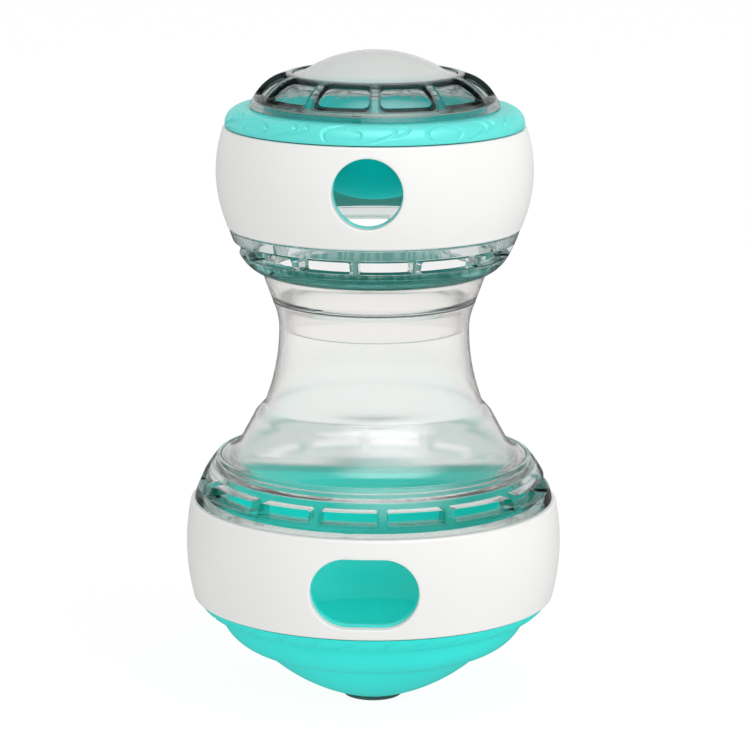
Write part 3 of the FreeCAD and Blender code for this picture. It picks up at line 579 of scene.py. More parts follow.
def facingHole(section, turns, outerR, innerR, which, wall):
    # a treat hole straight through towards the front; both faces use the rows at the same heights
    v = SimpleNamespace(**treatHoles[which], **treatHoles[wall])
    halfWidth, halfHeight = (half - v.lip for half in v.half)
    inside = np.where(np.abs(turns) < math.asin((halfWidth + v.margin) / innerR))[0]
    onInner = np.where(np.abs(section[:, 0] - innerR) < 0.02)[0]
    onOuter = np.where(section[:, 0] > (outerR + innerR) / 2)[0]
    shared = [z for z in section[onOuter, 1] if np.abs(section[onInner, 1] - z).min() < 1e-6]
    heights = (max(z for z in shared if z < v.z - halfHeight - v.margin),
               min(z for z in shared if z > v.z + halfHeight + v.margin))
    rows = [tuple(int(face[np.argmin(np.abs(section[face, 1] - z))]) for z in heights)
            for face in (onOuter, onInner)]
    return newHole(v, columns=(int(inside[0]) - 1, int(inside[-1]) + 1), outerRows=rows[0], innerRows=rows[1],
                   centre=(v.z, v.z), size=(halfWidth, halfHeight), corner=halfHeight, patchRows=6)


# Engraved leaves of the bowl's rim and the shoulder

reliefValues = {"endFade": 0.06, "edgeFade": 0.06, "thinnest": 0.55}


def strokes(u, share, lines, pitchMm, lengthMm):
    # depth of engraved strokes: the largest of exp(-(d / w)^3) over the lines, faded at their ends,
    # where d is the distance in mm from the curve u = start + lean q + bow sin(pi q), q up the stroke
    depth, fade, thin = 0.0, reliefValues["endFade"], reliefValues["thinnest"]
    for start, lean, bow, low, high, width in lines:
        q = np.clip((share - low) / (high - low), 0, 1)
        middle = start + lean * q + bow * np.sin(math.pi * q)
        slope = (lean + bow * math.pi * np.cos(math.pi * q)) * pitchMm / (high - low) / lengthMm
        away = np.abs((u - middle + 0.5) % 1.0 - 0.5) * pitchMm / np.sqrt(1 + slope ** 2)
        ends = np.clip((share - low) / fade, 0, 1) * np.clip((high - share) / fade, 0, 1)
        swell = thin + (1 - thin) * np.sin(math.pi * q)
        depth = np.maximum(depth, np.exp(-(away / width / swell) ** 3) * ends * swell)
    return depth


def leafRelief(v, radius):
    # strokes of one motif, repeated round a ring and faded at its edges
    def relief(turn, share, length):
        fade = reliefValues["edgeFade"]
        depth = strokes(turn / (2 * math.pi) * v.motifs, share, v.leaves, 2 * math.pi * radius / v.motifs, length)
        return -v.depth * depth * np.clip(share / fade, 0, 1) * np.clip((1 - share) / fade, 0, 1)
    return relief


# Bowl with its patterned rim and the liner behind the lower band

baseValues = {
    "keelR": 9.8, "lowTier": 13.3, "lowTierBulge": 1.6, "lowTierR": 31.9, "tierStep": 0.5,
    "midTier": 9.3, "midTierR": 42.9, "midTierBulge": 2.0, "rimStep": 0.3, "rimBulge": 0.8, "rimHeight": 4.6,
    "linerR": 47.0, "linerBoreR": 44.8, "sweepTop": 31.0, "sweepBulge": 1.5, "seatR": 33.3,
    "floorTop": 18.5, "floorLow": 16.5, "cavityLow": 5.1, "wall": 2.4, "grooveDrop": 1.9, "groove": (46.12, 0.7),
    "footR": 8.8, "footTop": 2.9, "stemR": 3.1, "rounding": 0.18, "columns": 180, "fold": 6,
    "motifs": 30, "depth": 0.34,
    # leaves round the rim: start, lean and bow in motifs, foot and head as shares of the rim, half width in mm
    "leaves": [(0.0, 0.62, 0.1, 0.1, 0.86, 0.5), (0.14, 0.62, -0.06, 0.1, 0.8, 0.4),
               (0.55, 0.35, -0.12, 0.2, 0.95, 0.42)],
}


def makeBase(values):
    v = SimpleNamespace(**values)
    zKeel, zTop, rimR = span("base_shell")
    zLow = zKeel + v.lowTier
    zMid = zLow + v.midTier
    zRim = zMid + v.rimHeight
    grooveR, grooveHalf = v.groove
    grooveLow, grooveHigh = zTop - v.grooveDrop - grooveHalf, zTop - v.grooveDrop + grooveHalf
    wallRows = np.linspace(zRim, grooveLow, 30)
    boreRows = np.concatenate([[zTop], wallRows[wallRows > v.sweepTop][::-1], [v.sweepTop]])
    lowTier = arc((v.keelR, zKeel), (v.lowTierR, zLow), v.lowTierBulge, 30)
    rim = arc((v.midTierR + v.rimStep, zMid), (rimR, zRim), v.rimBulge, 36)
    # the weight's cavity follows the lowest tier, a wall's thickness inside it
    tangent = np.gradient(lowTier, axis=0)
    cavity = lowTier + v.wall * np.column_stack([-tangent[:, 1], tangent[:, 0]]) / np.hypot(*tangent.T)[:, None]
    cavity = cavity[(cavity[:, 1] > v.cavityLow) & (cavity[:, 1] < v.floorLow)][::-1]
    section = joined([
        (v.stemR, v.cavityLow, 6), (v.stemR, v.footTop), (v.footR, v.footTop), (v.footR, zKeel), lowTier,
        arc((v.lowTierR + v.tierStep, zLow), (v.midTierR, zMid), v.midTierBulge, 30), rim,
        upright(v.linerR, wallRows), (grooveR, grooveLow), (grooveR, grooveHigh), (v.linerR, grooveHigh),
        (v.linerR, zTop), upright(v.linerBoreR, boreRows),
        arc((v.linerBoreR, v.sweepTop), (v.seatR, v.floorTop), -v.sweepBulge, 18), (v.seatR, v.floorLow),
        (*cavity[0], 3), cavity,
    ], v.rounding)
    turns = evenTurns(v.columns)
    hole = facingHole(section, turns, v.linerR, v.linerBoreR, "lower", "liner")
    patches = fineZonePatches(section, turns, rowNear(section, *rim[1]), rowNear(section, *rim[-2]), v.fold,
                              leafRelief(v, rimR), hole)
    meshPiece("bowl", patches, "base", "base_shell", "turquoiseAbs")


makeBase(baseValues)


# Rubber foot

footValues = {"round": 1.4, "top": 2.9, "stemR": 3.0, "barbR": 4.2, "barbZ": 5.1, "tipR": 2.4,
              "rounding": 0.15, "columns": 120}


def makeFoot(values):
    v = SimpleNamespace(**values)
    low, high, radius = span("foot")
    section = joined([
        (0, low), (radius - v.round, low, 8),
        arc((radius - v.round, low), (radius, low + v.round), v.round * quarterBulge, 12),
        (radius, v.top), (v.stemR, v.top, 4), (v.stemR, v.barbZ), (v.barbR, v.barbZ), (v.tipR, high), (0, high),
    ], v.rounding, closed=False)
    turnedPiece("footPad", section, evenTurns(v.columns), "base", "foot_rubber", "foot", "footRubber", closed=False)


makeFoot(footValues)


# White bands

bandValues = {"edge": 1.0, "rounding": 0.2, "columns": 288}
lowerBandValues = {**bandValues, "boreR": 47.4, "foot": 50.2, "belly": 52.0, "head": 50.9, "bellyShare": 0.54}
upperBandValues = {**bandValues, "boreR": 38.4, "foot": 40.6, "belly": 43.5, "head": 41.8, "bellyShare": 0.55}


def circleThrough(a, b, c, count):
    # the arc from a over b to c, from the circle through the three points
    (ax, ay), (bx, by), (cx, cy) = a, b, c
    d = 2 * (ax * (by - cy) + bx * (cy - ay) + cx * (ay - by))
    x = ((ax ** 2 + ay ** 2) * (by - cy) + (bx ** 2 + by ** 2) * (cy - ay) + (cx ** 2 + cy ** 2) * (ay - by)) / d
    y = ((ax ** 2 + ay ** 2) * (cx - bx) + (bx ** 2 + by ** 2) * (ax - cx) + (cx ** 2 + cy ** 2) * (bx - ax)) / d
    start, end = (math.degrees(math.atan2(q - y, p - x)) for p, q in (a, c))
    return circlePart((x, y), math.hypot(ax - x, ay - y), start, end, count)


def makeBand(name, node, values, which):
    v = SimpleNamespace(**values)
    low, high, _ = span(node)
    belly = circleThrough((v.foot, low + v.edge), (v.belly, low + (high - low) * v.bellyShare),
                          (v.head, high - v.edge), 28)
    bulge = v.edge * quarterBulge
    section = joined([
        (v.boreR, low), (v.foot - v.edge, low, 3), arc((v.foot - v.edge, low), (v.foot, low + v.edge), bulge, 10),
        belly, arc((v.head, high - v.edge), (v.head - v.edge, high), bulge, 10), (v.boreR, high, 3),
        upright(v.boreR, np.concatenate([[high], belly[1:-1, 1][::-1], [low]])),
    ], v.rounding)
    turns = evenTurns(v.columns)
    hole = facingHole(section, turns, v.belly, v.boreR, which, "band")
    turnedPiece(name, section, turns, node, "white_abs", node, "whiteAbs", holes=[hole])


makeBand("lowerBand", "lower_band", lowerBandValues, "lower")
makeBand("upperBand", "upper_band", upperBandValues, "upper")


# Patterned shoulder and the liner behind the upper band

shellValues = {
    "linerR": 38.0, "boreR": 36.2, "shoulderZ": 161.3, "shoulderR": 41.0, "crownR": 36.6, "shoulderBulge": 1.5,
    "crownBoreR": 28.0, "thick": 2.0, "grooveRise": 3.2, "groove": (37.32, 0.6),
    "rounding": 0.18, "rowGap": 0.2, "columns": 288, "fold": 4, "motifs": 9, "depth": 0.5,
    # ripples round the shoulder: two long nested arcs, one that bows the other way, and a short one between
    "leaves": [(0.0, 0.12, 0.2, 0.03, 0.97, 0.5), (0.2, 0.1, 0.14, 0.2, 0.93, 0.45),
               (0.62, 0.16, -0.12, 0.05, 0.97, 0.5), (0.86, -0.06, 0.1, 0.1, 0.7, 0.42)],
}


def makeShell(values):
    v = SimpleNamespace(**values)
    low, high, _ = span("upper_shell")
    grooveR, grooveHalf = v.groove
    grooveLow, grooveHigh = low + v.grooveRise - grooveHalf, low + v.grooveRise + grooveHalf
    wallRows = np.linspace(grooveHigh, v.shoulderZ, 24)
    innerTop, ceiling = high - 2 * v.thick, high - v.thick
    boreRows = np.concatenate([[innerTop], wallRows[wallRows < innerTop - v.rowGap][::-1], [low]])
    shoulder = arc((v.shoulderR, v.shoulderZ), (v.crownR, high), v.shoulderBulge, 36)
    section = joined([
        (v.boreR, low), (v.linerR, low), (v.linerR, grooveLow), (grooveR, grooveLow), (grooveR, grooveHigh),
        (v.linerR, grooveHigh), upright(v.linerR, wallRows), shoulder, (v.crownBoreR, high, 6),
        (v.crownBoreR, ceiling), (v.boreR - v.thick, ceiling, 5), upright(v.boreR, boreRows),
    ], v.rounding)
    turns = evenTurns(v.columns)
    hole = facingHole(section, turns, v.linerR, v.boreR, "upper", "liner")
    patches = fineZonePatches(section, turns, rowNear(section, *shoulder[1]), rowNear(section, *shoulder[-2]),
                              v.fold, leafRelief(v, v.shoulderR), hole)
    # the shoulder takes the paler turquoise, a painted highlight haze
    meshPiece("shoulderShell", patches, "upper_drum", "upper_shell", "turquoisePaintedHazeAbs")


makeShell(shellValues)


# Clear vent rings with their slots

def slotPlan(short, bar, shortCount, longCount):
    # (start, end) of every slot in degrees: in each half turn a short group, then longer ones
    longPitch = (180 - shortCount * (short + bar)) / longCount
    plan = []
    for halfTurn in (0.0, 180.0):
        start = math.degrees(marks["indexTurn"]) + halfTurn - shortCount * (short + bar) / 2 + bar / 2
        for pitch in [short + bar] * shortCount + [longPitch] * longCount:
            plan.append((start, start + pitch - bar))
            start += pitch
    return plan


def columnsBetween(start, end, count, extra):
    # evenly spaced angles, with those of extra that lie between them
    return np.unique(np.concatenate([np.linspace(start, end, count), extra[(extra > start) & (extra < end)]]))


def ringRows(face, heights):
    # the outer face's points at the given heights
    heights = np.unique(np.round(np.concatenate(heights), 5))
    return np.column_stack([np.interp(heights, face[:, 1], face[:, 0]), heights])


def slottedRing(section, v, outer, slotLow, extra=np.array([])):
    # columns follow the slots, with a margin on both sides of each and extra ones at the index mark
    band = (slotLow - v.bandMargin, slotLow + v.slotHeight + v.bandMargin)
    outerRows = tuple(rowNear(section, np.interp(z, outer[:, 1], outer[:, 0]), z) for z in band)
    innerRows = tuple(rowNear(section, v.boreR, z) for z in band)
    middleZ = slotLow + v.slotHeight / 2
    turns, holes = [], []
    for start, end in slotPlan(*v.slots):
        first = len(turns)
        turns.extend([start - v.marginDegrees, *columnsBetween(start, end, v.slotColumns, np.degrees(extra)),
                      end + v.marginDegrees])
        holes.append(newHole(
            v, turn=math.radians((start + end) / 2), columns=(first, len(turns) - 1), outerRows=outerRows,
            innerRows=innerRows, centre=(middleZ, middleZ), unrolled=v.unrolled,
            size=(math.radians((end - start) / 2) * v.unrolled, v.slotHeight / 2)))
    return np.radians(np.array(turns)), holes


# slots: a short slot and a bar in degrees, and how many short and long ones each half turn has
lowerRingValues = {
    "headR": 43.4, "bulge": 0.8, "boreR": 43.4, "skirtWall": 2.0, "skirtDepth": 4.6,
    "skirtR": 44.5, "flangeR": 42.5, "flangeThick": 2.1, "lipR": 40.9, "lip": 1.4, "lipGap": 0.9,
    "slots": (18.9, 3.5, 3, 4),
    "slotRise": 3.1, "slotHeight": 3.2, "bandMargin": 0.7, "corner": 0.4, "edge": 0.22, "marginDegrees": 0.75,
    # shade and rimShade: shares of painted shade on the slots' walls and round them
    "slotColumns": 16, "unrolled": 47.0, "shade": 0.9, "rimShade": 0.35,
    "notchWidth": 2.4, "notchHeight": 1.1, "notchDepth": 1.0, "rounding": 0.16,
}


def makeLowerRing(values):
    v = SimpleNamespace(**values)
    low, high, footR = span("lower_vent_ring")
    zFoot = low + v.skirtDepth
    zFlange = high - v.flangeThick
    skirtIn = v.skirtR - v.skirtWall
    slotLow = zFoot + v.slotRise
    bandLow, bandHigh = slotLow - v.bandMargin, slotLow + v.slotHeight + v.bandMargin
    zNotch = zFoot + v.notchHeight
    outer = ringRows(arc((footR, zFoot), (v.headR, high), v.bulge, 60), [
        [zFoot, high], zNotch + np.array([-1, 1]) * marks["edgeStep"], np.linspace(zFoot, bandLow, 8),
        np.linspace(bandLow, bandHigh, 6), np.linspace(bandHigh, high, 12)])
    # the slots' wall on the inside runs from just above the skirt to just below the lip
    inner = np.concatenate([[zFlange - 2 * v.lip + v.lipGap], np.linspace(bandHigh, bandLow, 6), [zFoot + v.lip]])
    section = joined([
        (v.skirtR, zFoot, 4), (footR, zFoot, 5), outer, (v.flangeR, high), (v.flangeR, zFlange), (v.lipR, zFlange),
        (v.lipR, zFlange - v.lip), upright(v.boreR, inner), (skirtIn, zFoot), (skirtIn, low, 4), (v.skirtR, low),
    ], v.rounding)
    turns, slots = slottedRing(section, v, outer, slotLow, markTurns(marks["indexTurn"], v.notchWidth, footR))
    floor = footR - v.notchDepth
    notch = marked(marks["indexTurn"], v.notchWidth, (zFoot - 1, zNotch), floor, floor)
    turnedPiece("lowerVentRing", section, turns, "lower_neck", "smoked_polycarbonate", "lower_vent_ring",
                "lightSmokedPc", holes=slots, reshape=notch)


makeLowerRing(lowerRingValues)

upperRingValues = {
    "footR": 31.2, "kneeR": 37.0, "kneeRise": 5.1, "kneeBulge": 0.7, "headR": 40.0, "bulge": 0.2,
    "boreR": 33.0, "floor": 2.6, "collarR": 29.5, "upstandR": 36.0, "upstandWall": 1.7, "upstand": 2.4,
    "slots": (22.0, 3.6, 2, 4), "slotRise": 5.4, "slotHeight": 3.4, "bandMargin": 0.65, "corner": 0.4, "edge": 0.22,
    "marginDegrees": 0.85, "slotColumns": 18, "unrolled": 38.5,
    # painted shade on the foot, which fades out over footFade mm below the slots, round the slots and on their walls
    "footShade": 0.9, "footFade": 0.6, "rimShade": 0.6, "shade": 0.3, "rounding": 0.16,
}


def makeUpperRing(values):
    v = SimpleNamespace(**values)
    low, top, _ = span("upper_vent_ring")
    high = top - v.upstand
    zKnee, slotLow = low + v.kneeRise, low + v.slotRise
    bandLow, bandHigh = slotLow - v.bandMargin, slotLow + v.slotHeight + v.bandMargin
    face = np.concatenate([arc((v.footR, low), (v.kneeR, zKnee), v.kneeBulge, 40),
                           arc((v.kneeR, zKnee), (v.headR, high), v.bulge, 40)[1:]])
    outer = ringRows(face, [
        np.linspace(low, bandLow, 14), np.linspace(bandLow, bandHigh, 7), np.linspace(bandHigh, high, 6)])
    zFloor, upstandIn = low + v.floor, v.upstandR - v.upstandWall
    inner = np.concatenate([[high], np.linspace(bandHigh, bandLow, 7), [zFloor]])
    section = joined([
        (v.collarR, low, 3), (v.footR, low, 3), outer, (v.upstandR, high, 4), (v.upstandR, top), (upstandIn, top),
        (upstandIn, high), upright(v.boreR, inner), (v.collarR, zFloor, 4),
    ], v.rounding)
    turns, slots = slottedRing(section, v, outer, slotLow)
    # painted shade darkens the foot below the slots
    shades = v.footShade * np.clip((slotLow - section[:, 1]) / v.footFade, 0, 1)
    turnedPiece("upperVentRing", section, turns, "upper_drum", "smoked_polycarbonate", "upper_vent_ring",
                "deepSmokedPc", holes=slots, shades=shades)


makeUpperRing(upperRingValues)


# Clear neck below the seam

neckValues = {
    "flangeR": 42.3, "flangeThick": 2.1, "spigotR": 40.7, "boreR": 38.7, "coneFootR": 36.4, "coneHeadR": 33.4,
    "ledgeRise": 5.0, "ledgeHollow": 0.85, "coneHeight": 5.5, "creaseRise": 3.7, "creaseR": 30.3,
    "creaseBulge": 0.37, "bellHeight": 21.3, "waistR": 26.2, "seamR": 28.1, "wall": 1.6, "coneWall": 2.0,
    "spigot": 2.9, "columns": 288,
    # rounding of each corner, from the spigot's foot up the outside and down the inside
    "roundings": [0.25, 0.25, 0.25, 0.4, 1.1, 1.3, 1.0, 0.6, 0.3, 0.3, 0.6, 1.2, 1.0, 1.0, 0.8, 0.25],
}


def makeLowerNeck(values):
    v = SimpleNamespace(**values)
    low, high, _ = span("lower_neck")
    zFlange = low + v.spigot
    zRing = zFlange + v.flangeThick
    zCone = zRing + v.ledgeRise
    zConeTop = zCone + v.coneHeight
    zCrease = zConeTop + v.creaseRise
    zWaist = zCrease + v.bellHeight
    bellR = circleRadius(v.creaseR - v.waistR, v.bellHeight)
    flareR = circleRadius(v.seamR - v.waistR, high - zWaist)

    def waisted(radius, wall, z):
        # r = waist + R - sqrt((R + wall)^2 - (z - waist's height)^2): a circle centred outside the neck
        return np.column_stack([v.waistR + radius - np.sqrt((radius + wall) ** 2 - (z - zWaist) ** 2), z])

    bellIn = waisted(bellR, v.wall, np.linspace(zWaist, zCrease + v.wall / 3, 36))
    socket = v.waistR - v.wall
    inHigh = (v.coneHeadR - v.coneWall, zConeTop)
    section = joined([
        (v.boreR, low, 3), (v.spigotR, low), (v.spigotR, zFlange, 3), (v.flangeR, zFlange), (v.flangeR, zRing),
        arc((v.flangeR, zRing), (v.coneFootR, zCone), -v.ledgeHollow, 18), (v.coneHeadR, zConeTop, 8),
        arc((v.coneHeadR, zConeTop), (v.creaseR, zCrease), v.creaseBulge, 12),
        waisted(bellR, 0.0, np.linspace(zCrease, zWaist, 40)), waisted(flareR, 0.0, np.linspace(zWaist, high, 16)),
        (socket, high, 4), (socket, zWaist, 6), bellIn, arc(bellIn[-1], inHigh, -v.creaseBulge, 10),
        (v.coneFootR - v.coneWall, zCone, 6), (v.boreR, zFlange + v.flangeThick / 2, 6),
    ], v.roundings)
    turnedPiece("neckBell", section, evenTurns(v.columns), "lower_neck", "clear_polycarbonate", "lower_neck",
                "clearPc")


makeLowerNeck(neckValues)


# Clear neck above the seam

collarValues = {
    "plugR": 24.3, "plugWall": 1.8, "seamR": 28.1, "collarR": 30.9, "neckHeight": 7.6, "collarStepR": 29.3,
    "collarBoreR": 27.4, "flare": 3.6, "flareDrop": 2.5, "chamfer": 1.4, "plugDepth": 8.3, "columns": 288,
    "notchWidth": 2.4, "notchHeight": 1.1, "notchDepth": 0.6, "rounding": 0.2,
}


def makeUpperNeck(values):
    v = SimpleNamespace(**values)
    low, high, _ = span("upper_neck")
    zSeam = low + v.plugDepth
    zRing = zSeam + v.neckHeight
    plugIn, throatR = v.plugR - v.plugWall, v.collarBoreR - v.chamfer
    zFlare = zSeam - v.flareDrop
    zNotch = zSeam + v.notchHeight
    face = straight((v.seamR, zSeam), (v.collarR, zRing), 22)
    faceZ = np.unique(np.concatenate([face[:, 1], zNotch + np.array([-1, 1]) * marks["edgeStep"]]))
    face = np.column_stack([np.interp(faceZ, face[:, 1], face[:, 0]), faceZ])
    section = joined([
        (plugIn, low, 5), (v.plugR, low), (v.plugR, zSeam, 8), (v.seamR, zSeam, 4), face, (v.collarStepR, zRing),
        (v.collarStepR, high, 4), (v.collarBoreR, high), (v.collarBoreR, zRing - v.chamfer, 4),
        (throatR, zFlare + v.flare), (plugIn, zFlare, 4),
    ], v.rounding)
    floor = v.seamR - v.notchDepth
    turns = np.sort(np.concatenate([evenTurns(v.columns), markTurns(marks["neckTurn"], v.notchWidth, v.seamR)]))
    notch = marked(marks["neckTurn"], v.notchWidth, (zSeam - 1, zNotch), floor, floor)
    turnedPiece("neckCollar", section, turns, "upper_drum", "clear_polycarbonate", "upper_neck", "clearPc",
                reshape=notch)


makeUpperNeck(collarValues)


# Seals: flat rings, a hair thinner than their seats so that they never share a face with a turning piece

sealValues = {"relief": 0.03, "rounding": 0.12, "columns": 216}


def makeSeal(name, node, innerR, body, finish):
    v = SimpleNamespace(**sealValues)
    low, high, outerR = span(node)
    low, high = low + v.relief, high - v.relief
    section = joined([(innerR, low), (outerR, low), (outerR, high), (innerR, high)], v.rounding)
    turnedPiece(name, section, evenTurns(v.columns), body, "silicone", node, finish)


makeSeal("baseWasher", "base_seal", 45.0, "base_seal", "silicone")
makeSeal("neckWasher", "neck_seal", 24.45, "neck_seal", "greySilicone")
makeSeal("capWasher", "cap_seal", 27.8, "cup", "silicone")


# Cup under the cap

cupValues = {"ballR": 27.6, "wall": 1.4, "flangeThick": 1.0, "rounding": 0.2, "columns": 240}


def makeCup(values):
    v = SimpleNamespace(**values)
    low, top, flangeR = span("inner_cup")
    zCentre, zFlange = low + v.ballR, top - v.flangeThick
    insideR = v.ballR - v.wall
    outer = circlePart((0, zCentre), v.ballR, -90, math.degrees(math.asin((zFlange - zCentre) / v.ballR)), 60)
    inner = circlePart((0, zCentre), insideR, math.degrees(math.asin((top - zCentre) / insideR)), -90, 60)
    section = joined([outer, (flangeR, zFlange, 3), (flangeR, top), (*inner[0], 4), inner], v.rounding, closed=False)
    turnedPiece("innerCup", section, evenTurns(v.columns), "cup", "turquoise_abs", "inner_cup", "mattTurquoiseAbs",
                closed=False)


makeCup(cupValues)


# Cap ring with its sunken windows, and the dome

capValues = {
    "rimR": 34.3, "skirtR": 33.5, "skirt": 1.8, "topR": 23.2, "slopeBulge": 1.6, "wall": 2.4, "pane": 0.9,
    "seatR": 22.6, "seatDepth": 1.5, "holeR": 20.5, "counterR": 31.7, "counterRise": 1.3, "landR": 28.7,
    "landHeight": 0.8, "lugWidth": 2.2, "lugHeight": 2.15, "lugStand": 0.4, "lugRoot": 0.8,
    "windows": 11, "firstTurn": 2.7, "halfDegrees": 15.2, "windowColumns": 24,
    # windows in millimetres up the slope's chord from its foot: foot, head, half width at the foot;
    # what foot, head and half width gain per mm of depth, and the half width per mm up
    "foot": 2.15, "head": 11.15, "half": 7.69, "footDraft": 3.2, "headDraft": -1.0, "halfDraft": -0.4,
    # shade and rimShade: shares of painted shade on the windows' walls and round them
    "taper": -0.229, "corner": 1.75, "edge": 0.25, "paneEdge": 0.15, "margin": 0.45, "shade": 1.0, "rimShade": 0.6,
    "rounding": 0.12,
}


def makeCap(values):
    v = SimpleNamespace(**values)
    low, top, _ = span("cap_ring")
    zSlope, zSeat, zCounter = low + v.skirt, top - v.seatDepth, low + v.counterRise
    zLand = zCounter + v.landHeight
    foot, head = np.array([v.skirtR, zSlope]), np.array([v.topR, top])
    chord = np.hypot(*(head - foot))
    up = (head - foot) / chord
    outward = np.array([up[1], -up[0]])
    slopeR = circleRadius(v.slopeBulge, chord / 2)
    centre = (foot + head) / 2 - outward * (slopeR - v.slopeBulge)
    insideR = slopeR - v.wall

    def onCircle(radius, angles):
        return centre + radius * np.column_stack([np.cos(np.radians(angles)), np.sin(np.radians(angles))])

    # (r, z) and distance up the slope of the outer face and of the panes' outer face, finely
    angles = np.linspace(math.degrees(math.asin((zSlope - centre[1]) / slopeR)),
                         math.degrees(math.acos((v.topR - centre[0]) / slopeR)), 1500)
    slope, pane = (np.column_stack([onCircle(radius, angles), np.radians(angles - angles[0]) * radius])
                   for radius in (slopeR, insideR + v.pane))

    def windowOn(face):
        # middle, half height, half width and taper of the window where its walls meet a face
        rise = (face[:, :2] - foot) @ up
        deep = -(face[:, :2] - foot) @ outward
        first = face[np.argmin(np.abs(rise - v.foot - v.footDraft * deep)), 2]
        last = face[np.argmin(np.abs(rise - v.head - v.headDraft * deep)), 2]
        half = v.half + v.taper * (rise - v.foot) + v.halfDraft * deep
        ends = np.interp([first, last], face[:, 2], half)
        taper = (ends[0] - ends[1]) / ends.sum() * 2 / (last - first)
        return (first + last) / 2, (last - first) / 2, ends.mean(), taper

    outerWindow, paneWindow = windowOn(slope), windowOn(pane)
    zoneEdges = outerWindow[0] + np.array([-1, 1]) * (outerWindow[1] + v.margin)
    rows = np.concatenate([np.linspace(0, zoneEdges[0], 3)[:-1], np.linspace(*zoneEdges, 15),
                           np.linspace(zoneEdges[1], slope[-1, 2], 4)[1:]])
    inner = onCircle(insideR, np.linspace(90.0, math.degrees(math.asin((zLand - centre[1]) / insideR)), 20))
    section = joined([
        (v.counterR, low), (v.rimR, low, 3), (*foot, 6), onCircle(slopeR, angles[0] + np.degrees(rows / slopeR)),
        (v.seatR, top), (v.seatR, zSeat), (v.holeR, zSeat), (v.holeR, inner[0, 1]), inner, (v.landR, zLand, 3),
        (v.landR, zCounter), (v.counterR, zCounter, 3),
    ], v.rounding)
    zone = tuple(rowNear(section, *(np.interp(edge, slope[:, 2], slope[:, k]) for k in (0, 1)))
                 for edge in zoneEdges)
    zoneStart = np.interp(section[zone[0], 1], slope[:, 1], slope[:, 2])
    extra = np.degrees(markTurns(marks["indexTurn"], v.lugWidth, v.rimR))
    turns, windows = [], []
    for number in range(v.windows):
        middle = (v.firstTurn + 360 / v.windows * (number + 0.5) + 180) % 360 - 180
        first = len(turns)
        turns.extend(columnsBetween(middle - v.halfDegrees, middle + v.halfDegrees, v.windowColumns, extra))
        windows.append(newHole(
            v, turn=math.radians(middle), columns=(first, len(turns) - 1), outerRows=zone, innerRows=zone, pane=pane,
            centre=(outerWindow[0] - zoneStart, paneWindow[0]), size=(outerWindow[2], outerWindow[1]),
            innerSize=(paneWindow[2], paneWindow[1]), taper=(outerWindow[3], paneWindow[3]), innerEdge=v.paneEdge))
        turns.append(middle + 180 / v.windows)
    lug = marked(marks["indexTurn"], v.lugWidth, (low - 1, low + v.lugHeight), v.skirtR - v.lugRoot,
                 v.rimR + v.lugStand)
    turnedPiece("capRing", section, np.radians(np.array(turns)), "cap", "smoked_polycarbonate", "cap_ring",
                "smokedPc", holes=windows, reshape=lug)


makeCap(capValues)

domeValues = {"footR": 18.9, "wall": 1.8, "rootR": 17.6, "rootHollow": 0.35, "flangeHeight": 1.1,
              "rounding": 0.2, "columns": 240}


def makeDome(values):
    v = SimpleNamespace(**values)
    low, top, edgeR = span("cap_dome")
    # the hollow's ball goes through its edge on the seat and its top
    hollow = top - low - v.wall
    insideR = circleRadius(hollow, v.footR)
    ballR = insideR + v.wall
    zBall = top - ballR
    outside = circlePart((0, zBall), ballR, math.degrees(math.acos(v.rootR / ballR)), 90, 40)
    inside = circlePart((0, zBall), insideR, 90, math.degrees(math.asin((low - zBall) / insideR)), 40)
    edge = (edgeR, low + v.flangeHeight)
    section = joined([inside, (edgeR, low, 4), edge, arc(edge, outside[0], -v.rootHollow, 12), outside],
                     v.rounding, closed=False)
    turnedPiece("capDome", section, evenTurns(v.columns), "cap", "clear_polycarbonate", "cap_dome", "hazyPc",
                closed=False)


makeDome(domeValues)


# CAD nodes that keep their own shape

plainNodes = {
    "weight": "zincSteel", "cover_screws": "zincSteel", "weight_cover": "turquoiseAbs",
    "lower_friction_ring": "silicone", "upper_friction_ring": "silicone",
}
for node, finish in plainNodes.items():
    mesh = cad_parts[node].data
    for number in range(max(1, len(mesh.materials))):
        if number < len(mesh.materials):
            mesh.materials[number] = finishes[finish]
        else:
            mesh.materials.append(finishes[finish])
print("kept CAD nodes:", len(plainNodes))


# Studio

studioValues = {
    "floorHalf": 3.0, "floorGrey": 0.9, "worldSoft": 0.7, "worldThrough": 0.98,
    # the mirrored room goes from sides to top between two rises, and its panel fades out between
    # two cosines of the angle from its middle
    "mirrorSides": 0.75, "mirrorTop": 0.55, "mirrorRise": (0.15, 0.6),
    "panel": 6.0, "panelTurn": 28.0, "panelRise": 64.0, "panelFade": (0.8, 0.97),
    "floorShare": 0.9, "floorSoft": 1.0, "floorGlow": 1.03, "floorThrough": 1.0, "floorMirror": 0.1,
    "lights": {
        "keyPanel": {"place": (0.75, -0.85, 0.75), "size": (0.7, 0.9), "power": 6.6},
        "leftPanel": {"place": (-0.95, -0.35, 0.45), "size": (0.6, 1.1), "power": 0.8},
        "topPanel": {"place": (0.0, 0.1, 1.3), "size": (1.2, 1.2), "power": 1.3},
    },
    "aim": (0.0, 0.0, 0.09),
}


def strengthByRay(tree, start, choices):
    # the strength seen by each kind of ray; a later choice wins over an earlier one
    path = addNode(tree, "ShaderNodeLightPath")
    for ray, value in choices:
        mix = addNode(tree, "ShaderNodeMix", links={"Factor": path.outputs[ray]})
        for key, source in (("A", start), ("B", value)):
            if isinstance(source, float):
                mix.inputs[key].default_value = source
            else:
                tree.links.new(source, mix.inputs[key])
        start = mix.outputs["Result"]
    return start


